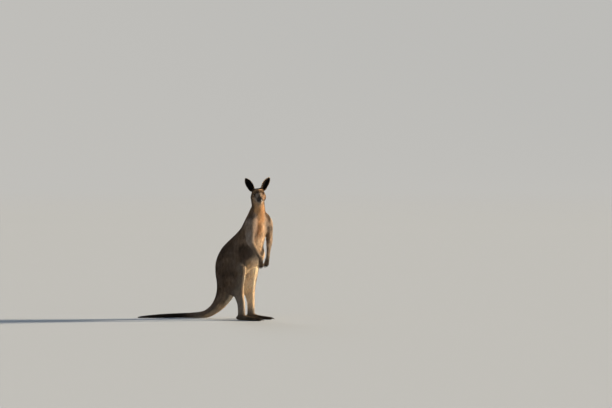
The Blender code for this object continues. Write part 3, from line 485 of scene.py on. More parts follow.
def leg_shapes(side, part):
    rows = [mirror_y(r, side) for r in (THIGH if part == "thigh" else SHANK)]
    rows = spline(rows, 40)
    path = frames(rows[:, :3], [(0, 1, 0)] * len(rows))
    rings = []
    for r, (t, across, up) in zip(rows, path):
        front = up if up.x > 0 or (part == "thigh" and up.z > 0) else -up
        rings.append(section(r[:3], across, front, r[3], r[4], r[5], 2.1, 32))
    shapes = [loft(rounded(rings))]
    if part == "thigh":
        rows = spline([mirror_y(r, side) for r in HAUNCH], 40)
        rings = [section(r[:3], across, up if up.x > 0 else -up, r[3], r[4], r[5], 2.05, 40)
                 for r, (t, across, up) in zip(rows, frames(rows[:, :3], [(0, 1, 0)] * len(rows)))]
        shapes += [loft(rounded(rings)), ball((0.034, side * 0.130, 0.508), (0.038, 0.038, 0.042))]   # haunch, kneecap
    return shapes


def foot_shapes(side):
    rows = spline([(r[0], 0, *r[1:]) for r in FOOT], 50)
    rings = [section((r[0], 0, r[2]), (0, 1, 0), (0, 0, 1), r[3], r[4], r[5], 2.3, 28) for r in rows]
    shapes = [loft(rounded(rings))]
    for toe in (TOE_5, TOE_3, TOE_2):
        x0, y0, z0, x1, y1, z1, r0, r1 = toe
        shapes.append(tube([(x0, y0, z0), ((x0 + x1) / 2, (y0 + y1) / 2 + 0.001, (z0 + z1) / 2 + 0.001), (x1, y1, z1)],
                           [(r0, r0), ((r0 + r1) / 2, (r0 + r1) / 2), (r1, r1)], 16, 16))
    if side < 0:
        shapes = [moved(bm, Matrix.Scale(-1, 4, (0, 1, 0))) for bm in shapes]
        for bm in shapes:
            bmesh.ops.reverse_faces(bm, faces=bm.faces)
    return [moved(bm, foot_frame(side)) for bm in shapes]


# ------------------------------------------------------------------ numbers over many points at once
def smooth(x, low, high):
    t = np.clip((x - low) / (high - low), 0.0, 1.0)
    return t * t * (3 - 2 * t)


def unit(v):
    return v / np.maximum(np.linalg.norm(v, axis=1), 1e-12)[:, None]


def into(matrix, points):
    """Points in the frame that matrix places."""
    m = np.array(matrix.inverted(), float)
    return points @ m[:3, :3].T + m[:3, 3]


def wobble(p, scale, seed=0.0):
    """A soft irregular value from -1 to 1 at each point, with features about scale across."""
    q = p * (2 * math.pi / scale)
    a = np.sin(q[:, 0] * 0.83 + 1.9 * np.sin(q[:, 1] * 0.47 + seed) + seed)
    b = np.sin(q[:, 1] * 0.91 + 1.7 * np.sin(q[:, 2] * 0.53 + 2.1 * seed) + 1.3)
    c = np.sin(q[:, 2] * 0.77 + 2.1 * np.sin(q[:, 0] * 0.61 + 0.7 * seed) + 2.6)
    d = np.sin((q[:, 0] + q[:, 1] - q[:, 2]) * 1.37 + 3.1 * seed)
    return (a + b + c + 0.7 * d) / 3.7


def mesh_points(mesh):
    co = np.empty(len(mesh.vertices) * 3, np.float32)
    mesh.vertices.foreach_get("co", co)
    return co.reshape(-1, 3).astype(float)


def mesh_edges(mesh):
    e = np.empty(len(mesh.edges) * 2, np.int32)
    mesh.edges.foreach_get("vertices", e)
    return e.reshape(-1, 2)


def mesh_triangles(mesh):
    mesh.calc_loop_triangles()
    t = np.empty(len(mesh.loop_triangles) * 3, np.int32)
    mesh.loop_triangles.foreach_get("vertices", t)
    loops = np.empty(len(mesh.loop_triangles) * 3, np.int32)
    mesh.loop_triangles.foreach_get("loops", loops)
    return t.reshape(-1, 3), loops.reshape(-1, 3)


def put_points(mesh, points):
    mesh.vertices.foreach_set("co", points.astype(np.float32).ravel())
    mesh.update()


def normals_of(points, triangles):
    a, b, c = (points[triangles[:, i]] for i in range(3))
    face = np.cross(b - a, c - a)
    out = np.zeros_like(points)
    for i in range(3):
        for k in range(3):
            out[:, k] += np.bincount(triangles[:, i], face[:, k], len(points))
    return unit(out)


def relaxed(points, edges, rounds, weight=1.0, grow=-0.53):
    """Points drawn towards their neighbours and back again, which smooths without shrinking much."""
    count = np.bincount(edges.ravel(), minlength=len(points))[:, None]
    p = points.copy()
    w = weight[:, None] if hasattr(weight, "__len__") else weight
    for _ in range(rounds):
        for step in (0.5, grow):
            if not step:
                continue
            mean = np.empty_like(p)
            for k in range(3):
                mean[:, k] = (np.bincount(edges[:, 0], p[edges[:, 1], k], len(p))
                              + np.bincount(edges[:, 1], p[edges[:, 0], k], len(p)))
            p += (mean / count - p) * step * w
    return p


# ------------------------------------------------------------------ the skin, at the outline of the coat
def fused(name, shapes, voxel, rounds):
    obj = joined(name, shapes)
    remesh = obj.modifiers.new("fuse", "REMESH")
    remesh.mode, remesh.voxel_size, remesh.adaptivity = "VOXEL", voxel, 0.0
    applied(obj)
    if rounds:
        put_points(obj.data, relaxed(mesh_points(obj.data), mesh_edges(obj.data), rounds, 1.0, 0.0))
    return obj


def opened(obj, at, normal, radius, keep_above):
    """Cuts obj by a plane near a point only and drops the side that isn't kept, so that one loop is left open."""
    at, normal = Vector(at), Vector(normal).normalized()
    bm = bmesh.new()
    bm.from_mesh(obj.data)
    near = [f for f in bm.faces if (f.calc_center_median() - at).length < radius]
    geom = list({v for f in near for v in f.verts}) + list({e for f in near for e in f.edges}) + near
    bmesh.ops.bisect_plane(bm, geom=geom, dist=1e-6, plane_co=at, plane_no=normal)
    sign = 1 if keep_above else -1
    loose = [v for v in bm.verts if (v.co - at).length < radius * 1.25 and (v.co - at).dot(normal) * sign < -1e-6]
    if loose:
        pool = set(loose)
        nearest = min(loose, key=lambda v: ((v.co - at) - normal * (v.co - at).dot(normal)).length
                      + abs(abs((v.co - at).dot(normal)) - 0.003))
        side_ok = {v: (v.co - at).dot(normal) * sign < -1e-6 for v in bm.verts}
        stack, gone = [nearest], {nearest}
        while stack:
            v = stack.pop()
            for e in v.link_edges:
                o = e.other_vert(v)
                if o not in gone and side_ok[o]:
                    gone.add(o)
                    stack.append(o)
        bmesh.ops.delete(bm, geom=list(gone), context="VERTS")
    bm.to_mesh(obj.data)
    bm.free()
    return obj


def stitched(obj, part):
    """obj and part as one mesh, with the loops that were cut open on each bridged."""
    bm = bmesh.new()
    bm.from_mesh(obj.data)
    rim_a = [tuple(round(x, 7) for x in v.co) for v in bm.verts if any(e.is_boundary for e in v.link_edges)]
    bm.from_mesh(part.data)
    bpy.data.objects.remove(part)
    edges = [e for e in bm.edges if e.is_boundary]
    seen = set(rim_a)
    groups, left = [], set(edges)
    while left:
        stack, group = [left.pop()], []
        while stack:
            e = stack.pop()
            group.append(e)
            for v in e.verts:
                for o in v.link_edges:
                    if o in left:
                        left.discard(o)
                        stack.append(o)
        groups.append(group)
    part_group = [g for g in groups if not any(tuple(round(x, 7) for x in v.co) in seen for e in g for v in e.verts)]
    target = part_group[0]
    centre = sum((v.co for e in target for v in e.verts), Vector()) / (2 * len(target))
    others = [g for g in groups if g is not target]
    mate = min(others, key=lambda g: (sum((v.co for e in g for v in e.verts), Vector()) / (2 * len(g)) - centre).length)
    bmesh.ops.bridge_loops(bm, edges=target + mate)
    bm.to_mesh(obj.data)
    bm.free()
    return obj


SIDES = {"left": 1, "right": -1}


def ear_solid(side):
    """The ear's sheet with a wall, as one closed shape."""
    sheet = joined("ear_sheet", [ear_sheet(side, 36, 23)])
    wall = sheet.modifiers.new("wall", "SOLIDIFY")
    wall.thickness, wall.offset, wall.use_even_offset = EAR_WALL + 0.0006, 0.0, True
    applied(sheet)
    bm = bmesh.new()
    bm.from_mesh(sheet.data)
    bpy.data.objects.remove(sheet)
    return bm


body = fused("skin", [long_body(count=240), ball(POUCH_AT, POUCH_SIZE, (0, 8, -8), 64), ball(*WITHERS, around=64)]
             + [s for side in (1, -1) for part in ("thigh", "shank") for s in leg_shapes(side, part)]
             + [s for name in ARMS for s in arm_shapes(name)], 0.0050, 0)
points, edges = mesh_points(body.data), mesh_edges(body.data)
# The big forms of trunk and thighs are smoothed most, the limbs less.
broad = smooth(points[:, 2], 0.22, 0.36) * smooth(points[:, 2], 1.09, 0.97)
for arm in ARMS.values():
    line = [Vector(arm[k]) for k in ("shoulder", "elbow", "wrist")]
    for a, b in zip(line, line[1:]):
        ab = np.array(b - a)
        t = np.clip(((points - np.array(a)) @ ab) / (ab @ ab), 0, 1)
        d = np.linalg.norm(points - (np.array(a) + t[:, None] * ab), axis=1)
        broad *= smooth(d, 0.024, 0.085) if b is line[2] else 0.25 + 0.75 * smooth(d, 0.03, 0.09)
points = relaxed(points, edges, 14, 1.0)
points = relaxed(points, edges, 110, broad, 0.0)
put_points(body.data, points)
said(f"body {len(points)}")

head = fused("head", skull_shapes() + [long_body(low=1.02, count=240)], 0.0020, 8)
points = mesh_points(head.data)
along = into(HEAD, points)[:, 0]
put_points(head.data, relaxed(points, mesh_edges(head.data), 90, 0.12 + 0.88 * smooth(along, 0.085, 0.045), 0.0))
bm = bmesh.new()
bm.from_mesh(head.data)
bpy.data.objects.remove(head)
head = fused("head", [bm, ear_solid(1), ear_solid(-1)], 0.0017, 0)
points = mesh_points(head.data)
on_ear = np.zeros(len(points))
for side in (1, -1):
    local = into(ear_place(side), points)
    on_ear = np.maximum(on_ear, smooth(local[:, 2], 0.010, 0.030) * (np.abs(local[:, 1]) < 0.06) * (np.abs(local[:, 0]) < 0.07))
points = relaxed(points, mesh_edges(head.data), 6, on_ear, 0.0)
put_points(head.data, relaxed(points, mesh_edges(head.data), 12, 0.3 + 0.7 * on_ear))
said(f"head {len(head.data.vertices)}")

NECK_SEAM = (Vector((0.130, 0.005, 1.100)), Vector((-0.06, 0.02, 1)).normalized())
body = opened(body, NECK_SEAM[0] - NECK_SEAM[1] * 0.0015, NECK_SEAM[1], 0.115, False)
head = opened(head, NECK_SEAM[0] + NECK_SEAM[1] * 0.0015, NECK_SEAM[1], 0.115, True)
body = stitched(body, head)
SEAMS = [(np.array(NECK_SEAM[0]), 0.09)]
for name, side in SIDES.items():
    arm = ARMS[name]
    w, e = Vector(arm["wrist"]), Vector(arm["elbow"])
    axis = (w - e).normalized()
    seam = w - axis * 0.014
    hand = fused("hand", arm_shapes(name, 9) + hand_shapes(name, False), 0.0016, 5)
    body = opened(body, seam - axis * 0.0012, axis, 0.030, False)
    hand = opened(hand, seam + axis * 0.0012, axis, 0.030, True)
    body = stitched(body, hand)
    SEAMS.append((np.array(seam), 0.03))
    seam, axis = Vector((0.0045, side * 0.0955, 0.088)), Vector((0, 0, 1))
    rows = [mirror_y(r, side) for r in SHANK[6:]]
    foot = fused("foot", foot_shapes(side) + [tube([r[:3] for r in rows], [(r[3], (r[4] + r[5]) / 2) for r in rows], 30, 32)],
                 0.0022, 6)
    body = opened(body, seam + axis * 0.0012, axis, 0.060, True)
    foot = opened(foot, seam - axis * 0.0012, axis, 0.060, False)
    body = stitched(body, foot)
    SEAMS.append((np.array(seam), 0.055))
bm = bmesh.new()
bm.from_mesh(body.data)
left, groups = set(bm.verts), []
while left:
    stack, group = [left.pop()], []
    while stack:
        v = stack.pop()
        group.append(v)
        for e in v.link_edges:
            o = e.other_vert(v)
            if o in left:
                left.discard(o)
                stack.append(o)
    groups.append(group)
groups.sort(key=len)
for group in groups[:-1]:
    bmesh.ops.delete(bm, geom=group, context="VERTS")

# Finer faces where the lids, the nose and the mouth's line are shaped.
to_head = HEAD.inverted()


def finer(wanted, cuts=1):
    faces = [f for f in bm.faces if wanted(f.calc_center_median())]
    bmesh.ops.subdivide_edges(bm, edges=list({e for f in faces for e in f.edges}), cuts=cuts, use_grid_fill=True)
    bmesh.ops.triangulate(bm, faces=[f for f in bm.faces if len(f.verts) > 4])


def near_eye(radius):
    def test(p):
        q = to_head @ p
        return min((q - Vector(mirror_y(EYE_AT, s))).length for s in (1, -1)) < radius
    return test


def near_mouth(p):
    q = to_head @ p
    return q.length < 0.18 and abs(q.y) < 0.05 and (q.x > 0.112 or (q.x > 0.050 and -0.0560 < q.z < -0.0350))


finer(near_eye(0.0225))
finer(near_eye(0.0190))
finer(near_mouth)
bm.to_mesh(body.data)
bm.free()
points, edges = mesh_points(body.data), mesh_edges(body.data)
join = np.zeros(len(points))
for at, reach in SEAMS:
    axis_gap = np.linalg.norm(points - at, axis=1)
    join = np.maximum(join, smooth(axis_gap, reach, reach * 0.5))
points = relaxed(points, edges, 24, join)
put_points(body.data, points)
said(f"stitched {len(body.data.vertices)}")
# ------------------------------------------------------------------ bones of the coat: where each kind of hair grows
PATH = spline(LONG_BODY, 170)
PATH_ACROSS = [(-math.sin(math.radians(r[6])), math.cos(math.radians(r[6])), 0) for r in PATH]
PATH_FRAMES = frames(PATH[:, :3], PATH_ACROSS)
PATH_UP = np.array([tuple(f[2]) for f in PATH_FRAMES])
PATH_SIDE = np.array([tuple(f[1]) for f in PATH_FRAMES])

# coat depth, tuft length, tuft width in millimetres, tufts in each square centimetre
KINDS = {
    "trunk": (4.4, 23.0, 2.3, 12.0), "neck": (4.0, 18.0, 1.9, 17.0), "tail": (3.9, 16.0, 2.1, 11.0),
    "tail_end": (3.6, 15.0, 2.0, 12.0), "thigh": (4.4, 20.0, 2.3, 12.5), "shank": (2.6, 12.0, 1.8, 12.0),
    "ankle": (1.9, 8.0, 1.5, 13.0), "foot": (1.3, 5.5, 1.2, 17.0), "upper_arm": (3.4, 15.0, 1.9, 12.5),
    "forearm": (2.1, 9.5, 1.5, 15.5), "hand": (1.1, 4.6, 1.0, 23.0), "skull": (2.5, 10.0, 1.5, 27.0),
    "muzzle": (1.2, 4.8, 1.0, 46.0), "ear": (0.7, 6.0, 1.1, 17.0),
}


def bones():
    """Each bone of the coat: its kind, both ends, its thickness, and the way its hair lies."""
    out = []
    marks = [i for i in range(0, 170, 8)] + [169]
    for a, b in zip(marks, marks[1:]):
        p, q = Vector(PATH[a][:3]), Vector(PATH[b][:3])
        kind = "tail_end" if p.x < -0.62 else "tail" if p.z < 0.20 else "trunk" if p.z < 0.98 else "neck"
        out.append((kind, p, q, float(PATH[a][3:6].mean()), (p - q).normalized()))
    for name, side in SIDES.items():
        arm = ARMS[name]
        s, e, w, t = (Vector(arm[k]) for k in ("shoulder", "elbow", "wrist", "tip"))
        out += [("upper_arm", s, e, 0.046, (e - s).normalized()), ("forearm", e, w, 0.026, (w - e).normalized()),
                ("hand", w, t, 0.022, (t - w).normalized())]
        hip, knee, calf, ankle = (Vector((x, side * y, z)) for x, y, z in (
            (-0.130, 0.090, 0.600), (0.036, 0.131, 0.492), (-0.004, 0.115, 0.320), (0.004, 0.097, 0.090)))
        out += [("thigh", hip, Vector((-0.120, side * 0.098, 0.400)), 0.105, Vector((-0.22, side * 0.06, -1)).normalized()),
                ("thigh", hip, knee, 0.075, Vector((-0.10, side * 0.05, -1)).normalized()),
                ("thigh", knee, calf, 0.052, Vector((-0.12, 0, -1)).normalized()),
                ("shank", calf, Vector((0.0, side * 0.103, 0.210)), 0.048, Vector((0, 0, -1))),
                ("ankle", Vector((0.0, side * 0.103, 0.210)), ankle, 0.034, Vector((0, 0, -1)))]
        place = foot_frame(side)
        toe = (place.to_3x3() @ Vector((1, 0, -0.22))).normalized()
        out.append(("foot", place @ Vector((-0.02, 0, 0.020)), place @ Vector((0.20, 0, 0.014)), 0.024, toe))
        place = ear_place(side)
        out.append(("ear", place @ Vector((0.004, 0, 0.018)), place @ Vector((-0.008, 0, EAR_LENGTH)), 0.030,
                    (place.to_3x3() @ Vector((0, 0, 1))).normalized()))
    back = HEAD.to_3x3() @ Vector((-1, 0, 0.06))
    out += [("muzzle", HEAD @ Vector((0.128, 0, -0.022)), HEAD @ Vector((0.066, 0, -0.018)), 0.036, back.normalized()),
            ("skull", HEAD @ Vector((0.044, 0, -0.012)), HEAD @ Vector((-0.060, 0, -0.010)), 0.060,
             (HEAD.to_3x3() @ Vector((-1, 0, -0.25))).normalized())]
    return out


BONES = bones()


def coat_of(p, sharp=5.0):
    """For each point: the way the hair lies, and its depth, length, width and density."""
    weights = []
    for kind, a, b, radius, lie in BONES:
        a3, ab = np.array(a), np.array(b - a)
        t = np.clip(((p - a3) @ ab) / (ab @ ab), 0, 1)
        d = np.linalg.norm(p - (a3 + t[:, None] * ab), axis=1) / radius
        weights.append(1.0 / (d**sharp + 0.02))
    w = np.array(weights)
    w /= w.sum(0)
    lie = np.tensordot(w, np.array([tuple(b[4]) for b in BONES]), (0, 0))
    size = np.tensordot(w, np.array([KINDS[b[0]] for b in BONES]), (0, 0))
    kinds = {k: w[[i for i, b in enumerate(BONES) if b[0] == k]].sum(0) for k in KINDS}
    return unit(lie), size, kinds


def long_place(p):
    """For each point: which station of the long body it is by, how far round towards the back, and how far to the left."""
    spot = np.empty(len(p), int)
    for start in range(0, len(p), 20000):
        q = p[start:start + 20000]
        spot[start:start + 20000] = np.argmin(((q[:, None, :] - PATH[None, :, :3]) ** 2).sum(2), axis=1)
    v = unit(p - PATH[spot, :3])
    return spot, (v * PATH_UP[spot]).sum(1), (v * PATH_SIDE[spot]).sum(1)


# ------------------------------------------------------------------ the skin goes in by the coat's depth, and is sculpted
mesh = body.data
mesh.name = "skin"
outline = mesh_points(mesh)
triangles, corner_loops = mesh_triangles(mesh)
edges = mesh_edges(mesh)
normals = normals_of(outline, triangles)
lie, size, kinds = coat_of(outline)
h = into(HEAD, outline)
pad_round = np.hypot(h[:, 1] / 0.0190, (h[:, 2] + 0.0135 + 0.10 * np.abs(h[:, 1])) / 0.0150)
nose = (np.linalg.norm(h, axis=1) < 0.18) * smooth(h[:, 0], 0.114, 0.120) * smooth(pad_round, 1.06, 0.92)
depth = size[:, 0] / 1000 * 0.9 * (1 - nose)
near_lid = np.minimum(*[np.linalg.norm(h - np.array(mirror_y(EYE_AT, s)), axis=1) for s in (1, -1)])
depth *= 0.35 + 0.65 * smooth(near_lid, 0.014, 0.034)
points = outline - normals * depth[:, None]

EYE_OUT = {s: Vector((0.46, s * 0.86, 0.16)).normalized() for s in (1, -1)}


def eye_axes(side):
    out = EYE_OUT[side]
    fore = (Vector((1, 0, -0.10)) - out * out.dot(Vector((1, 0, -0.10)))).normalized()
    up = fore.cross(out) * side
    if up.z < 0:
        up = -up
    return fore, up, out


LID_LONG, LID_HIGH = 0.86, 0.60   # half length and half height of the open eye, in eye radii


def lid_line(angle):
    """The open eye's edge in eye radii along fore and up: an almond with its inner corner drawn down."""
    c, s = math.cos(angle), math.sin(angle)
    x = LID_LONG * c
    y = LID_HIGH * (abs(s) ** 0.9) * (1 if s > 0 else -0.86)
    return x, y - 0.10 * max(0.0, c) ** 2 - 0.02


h = into(HEAD, points)
n_head = normals @ np.array(HEAD.to_3x3().inverted(), float).T
push, loose = np.zeros((len(points), 3)), np.zeros(len(points))
for side in (1, -1):
    c = np.array(mirror_y(EYE_AT, side))
    fore, up, out = (np.array(a) for a in eye_axes(side))
    v = h - c
    r = np.linalg.norm(v, axis=1)
    near = r < 0.045
    u = v / np.maximum(r, 1e-9)[:, None]
    a, b, o = u @ fore, u @ up, u @ out
    b = b + 0.10 * np.maximum(0, a) ** 2 + 0.02
    high = np.where(b > 0, LID_HIGH, LID_HIGH * 0.86)
    q = np.sqrt((a / LID_LONG) ** 2 + (b / high) ** 2)
    q = np.where(o > 0.05, q, 3.0)
    lid = EYE_RADIUS + 0.0016 + 0.0007 * (b > 0)
    inside = EYE_RADIUS - 0.0030
    target = np.where(q < 0.94, inside, inside + (lid - inside) * smooth(q, 0.94, 1.02))
    hold = smooth(q, 2.05, 1.15) * smooth(r, 0.0310, 0.0215)
    new_r = r * (1 - hold) + target * hold
    moved_to = c + u * new_r[:, None]
    push = np.where((near & (q < 2.3))[:, None], moved_to - h, push)
    loose = np.maximum(loose, smooth(q, 1.12, 1.28) * smooth(r, 0.046, 0.036) * (o > -0.3))
h2 = h + push
h2 = relaxed(h2, edges, 90, loose, 0.0)
for side in (1, -1):
    # the brow's fold above the upper lid, and a soft bag under the lower one
    fore, up, out = (np.array(a) for a in eye_axes(side))
    v = h2 - np.array(mirror_y(EYE_AT, side))
    r = np.linalg.norm(v, axis=1)
    u = v / np.maximum(r, 1e-9)[:, None]
    a, b, o = u @ fore, u @ up, u @ out
    q = np.sqrt((a / LID_LONG) ** 2 + (b / LID_HIGH) ** 2)
    near = (r < 0.026) & (o > 0)
    h2 -= u * (near * np.where(b > 0, 0.0007 * np.exp(-((q - 1.42) / 0.10) ** 2), 0.0008 * np.exp(-((q - 1.50) / 0.10) ** 2)))[:, None]


def dent(p, at, size3, deep, direction):
    """Moves points near at by deep along direction, fading out over size3."""
    d = (p - np.array(at)) / np.array(size3)
    return p + np.exp(-(d**2).sum(1))[:, None] * deep * np.array(direction)


for side in (1, -1):
    # nostrils: a comma that opens forwards and outwards
    h2 = dent(h2, (0.1330, side * 0.0095, -0.0155), (0.0075, 0.0040, 0.0034), 0.0085, (-0.90, -side * 0.15, 0.15))
    h2 = dent(h2, (0.1290, side * 0.0150, -0.0130), (0.0060, 0.0045, 0.0021), 0.0052, (-0.60, -side * 0.70, 0.0))
    h2 = dent(h2, (0.1320, side * 0.0120, -0.0088), (0.0070, 0.0055, 0.0026), 0.0016, (0.7, side * 0.4, 0.5))
    h2 = dent(h2, (0.1120, side * 0.0250, -0.0330), (0.0130, 0.0080, 0.0090), 0.0018, (0.2, side * 0.9, -0.1))
x, y, z = h2[:, 0], h2[:, 1], h2[:, 2]
mouth_z = -0.0440 - 0.0036 * smooth(x, 0.122, 0.092) + 0.0010 * smooth(x, 0.074, 0.060)
groove = np.exp(-((z - mouth_z) / 0.0017) ** 2) * smooth(x, 0.062, 0.074) * (np.abs(y) < 0.05)
lip = np.exp(-((z - mouth_z - 0.0042) / 0.0032) ** 2) * smooth(x, 0.060, 0.078) * (np.abs(y) < 0.05)
lower = np.exp(-((z - mouth_z + 0.0040) / 0.0030) ** 2) * smooth(x, 0.062, 0.080) * (np.abs(y) < 0.05)
philtrum = np.exp(-(y / 0.0013) ** 2) * smooth(z, -0.0445, -0.0400) * smooth(z, -0.0200, -0.0240) * smooth(x, 0.105, 0.115)
pad = smooth(x, 0.118, 0.122)
pad_edge = np.exp(-((z + 0.0255 + 0.10 * np.abs(y)) / 0.0013) ** 2) * pad * (np.abs(y) < 0.017)
h2 = h2 + n_head * (-0.0021 * groove + 0.0009 * lip - 0.0005 * lower - 0.0018 * philtrum - 0.0009 * pad_edge)[:, None]
h2 = np.where((np.linalg.norm(h, axis=1) < 0.18)[:, None], h2, h)
m = np.array(HEAD, float)
points = h2 @ m[:3, :3].T + m[:3, 3]
points[:, 2] = np.maximum(points[:, 2], 0.0)
put_points(mesh, points)
normals = normals_of(points, triangles)
said("sculpted")
# ------------------------------------------------------------------ small pieces: eyes, lids' margins, claws
def piece(name, bm, smooth_it=True):
    mesh = bpy.data.meshes.new(name)
    bm.to_mesh(mesh)
    bm.free()
    if smooth_it:
        mesh.shade_smooth()
    return link(bpy.data.objects.new(name, mesh))


def eye_ball(side):
    """A ball with a clear bulge over the iris; its angle from the line of sight is kept for its colours."""
    fore, up, out = eye_axes(side)
    bm = bmesh.new()
    bmesh.ops.create_uvsphere(bm, u_segments=48, v_segments=40, radius=EYE_RADIUS)
    turn = Matrix((fore, out.cross(fore), out)).transposed().to_4x4()
    for v in bm.verts:
        t = math.acos(max(-1, min(1, v.co.z / EYE_RADIUS)))
        v.co *= 1 + 0.055 * math.exp(-(t / 0.55) ** 2)
    bmesh.ops.transform(bm, matrix=HEAD @ Matrix.Translation(mirror_y(EYE_AT, side)) @ turn, verts=bm.verts)
    obj = piece(f"eye_ball_{'left' if side > 0 else 'right'}", bm)
    at = HEAD @ Vector(mirror_y(EYE_AT, side))
    look, across = (HEAD.to_3x3() @ out).normalized(), (HEAD.to_3x3() @ fore).normalized()
    p = mesh_points(obj.data) - np.array(at)
    u = unit(p)
    along = u @ np.array(look)
    wide = u @ np.array(across)
    tall = np.sqrt(np.maximum(0, 1 - along**2 - wide**2))
    store = obj.data.attributes.new("gaze", "FLOAT", "POINT")
    store.data.foreach_set("value", np.where(along > 0, np.sqrt((wide * 0.92) ** 2 + tall**2), 1.0).astype(np.float32))
    return obj


def lid_margin(side):
    """The bare dark edge of both lids, round the open eye, and the corner at the front."""
    fore, up, out = eye_axes(side)
    rim = []
    for i in range(64):
        x, y = lid_line(2 * math.pi * i / 64)
        d = fore * x + up * y
        o = math.sqrt(max(0.02, 1 - d.length_squared))
        rim.append((d + out * o).normalized())
    bm = bmesh.new()
    rings = []
    for i, d in enumerate(rim):
        t = (rim[(i + 1) % 64] - rim[i - 1]).normalized()
        side_dir = t.cross(d).normalized()
        thick = 0.00105 + 0.00025 * (d.dot(up) > 0)
        centre = d * (EYE_RADIUS + 0.0009)
        rings.append([bm.verts.new(centre + (side_dir * math.cos(a) + d * math.sin(a)) * thick)
                      for a in (2 * math.pi * k / 8 for k in range(8))])
    for a, b in zip(rings, rings[1:] + rings[:1]):
        for k in range(8):
            bm.faces.new((a[k], a[(k + 1) % 8], b[(k + 1) % 8], b[k]))
    bmesh.ops.recalc_face_normals(bm, faces=bm.faces)
    bmesh.ops.transform(bm, matrix=HEAD @ Matrix.Translation(mirror_y(EYE_AT, side)), verts=bm.verts)
    return piece(f"lid_margin_{'left' if side > 0 else 'right'}", bm)


def horn(points, radii, side, place, sides=14, count=16):
    """A claw: a tapering curved horn, flattened a little from side to side."""
    rows = spline([(*mirror_y(tuple(p), side), *r) for p, r in zip(points, radii)], count)
    rings = [section(r[:3], across, up, r[3], r[4], r[4], 2.0, sides)
             for r, (t, across, up) in zip(rows, frames(rows[:, :3], [(0, 1, 0)] * len(rows)))]
    return moved(loft(rounded(rings)), place)


def foot_claws(side):
    """The great claw, the outer claw, and the two small grooming claws of one hind foot."""
    place = foot_frame(side)
    long_claw = horn([(0.205, 0, 0.0160), (0.222, -0.0005, 0.0170), (0.240, -0.0015, 0.0125), (0.256, -0.002, 0.0052)],
                     [(0.0066, 0.0070), (0.0062, 0.0066), (0.0046, 0.0050), (0.0012, 0.0014)], side, place)
    outer = horn([(0.154, 0.0278, 0.0138), (0.170, 0.0300, 0.0140), (0.184, 0.0320, 0.0098), (0.194, 0.033, 0.0046)],
                 [(0.0052, 0.0058), (0.0048, 0.0053), (0.0034, 0.0038), (0.0009, 0.0012)], side, place)
    small = [horn([(x - 0.012, y + 0.003, z), (x - 0.002, y, z + 0.0012), (x + 0.007, y - 0.002, z - 0.0016), (x + 0.013, y - 0.003, z - 0.0052)],
                  [(0.0036, 0.0036), (0.0032, 0.0034), (0.0022, 0.0026), (0.0007, 0.0008)], side, place, 10, 12)
             for x, y, z in ((TOE_3[3] + 0.004, TOE_3[4], TOE_3[5] + 0.0008), (TOE_2[3] + 0.004, TOE_2[4], TOE_2[5] + 0.0008))]
    return long_claw, outer, small


def hand_claws(name):
    wrist, down, inward, back = hand_frame(name)

    def at(d, i, b):
        return wrist + down * d + inward * i + back * b

    out = []
    for across, reach, spread, curl, radius in FINGERS:
        end = at(0.034 + reach * 1.04 - 0.0045, across + spread * (reach - 0.004), 0.0038 - curl * 0.045)
        claw = at(0.034 + reach * 1.04 + 0.016, across + spread * (reach + 0.008), -curl * 0.045 - 0.0080)
        rows = spline([(*end, 0.0036, 0.0042), (*(end.lerp(claw, 0.42) + back * 0.0024), 0.0031, 0.0038),
                       (*(end.lerp(claw, 0.78) + back * 0.0012), 0.0018, 0.0024), (*claw, 0.0005, 0.0007)], 14)
        rings = [section(r[:3], side, up, r[3], r[4], r[4], 2.0, 10)
                 for r, (t, side, up) in zip(rows, frames(rows[:, :3], [inward] * len(rows)))]
        out.append(loft(rounded(rings)))
    return out


eyes = {name: eye_ball(side) for name, side in SIDES.items()}
lids = {name: lid_margin(side) for name, side in SIDES.items()}
claws = {}
for name, side in SIDES.items():
    long_claw, outer, small = foot_claws(side)
    claws["claw_long_" + name] = piece("hind_claw_long_" + name, long_claw)
    claws["claw_outer_" + name] = piece("hind_claw_outer_" + name, outer)
    claws["small_" + name] = joined("hind_claws_small_" + name, small)
    claws["hand_" + name] = joined("hand_claws_" + name, hand_claws(name))
    for key in ("small_", "hand_"):
        claws[key + name].data.shade_smooth()
said("small pieces")
# ------------------------------------------------------------------ markings and painted light and shade: linear colours of the coat by place
TONE = {
    "back": (.054, .041, .034), "flank": (.128, .100, .079), "chest": (.490, .305, .165), "belly": (.660, .520, .380),
    "groin": (.840, .730, .580), "arm": (.330, .290, .262), "arm_inside": (.400, .310, .230), "forearm": (.190, .163, .142),
    "hand": (.030, .025, .022), "shank": (.235, .213, .193), "shank_inside": (.700, .590, .450), "foot": (.045, .037, .031),
    "instep": (.120, .098, .078), "tail": (.145, .118, .098), "tail_under": (.420, .330, .240), "tail_end": (.021, .017, .015),
    "nape": (.120, .086, .060), "head": (.068, .052, .043), "cheek": (.225, .190, .170), "muzzle": (.265, .240, .222),
    "lip": (.600, .500, .400), "throat": (.460, .325, .205), "bridge": (.150, .134, .123), "dusk": (.050, .041, .038), "brow": (.095, .058, .040),
    "lid": (.010, .008, .0075), "ear_back": (.125, .096, .074), "ear_inside": (.0085, .0072, .0070), "ear_rim": (.350, .280, .205),
    "nose": (.0125, .0110, .0110), "sole": (.040, .034, .030), "mouth": (.045, .036, .032), "crown": (.032, .023, .019),
}
TONE = {k: np.array(v) for k, v in TONE.items()}


def mixed(a, b, t):
    a, b = (np.atleast_2d(x) for x in (a, b))
    return a + (b - a) * np.asarray(t)[:, None]


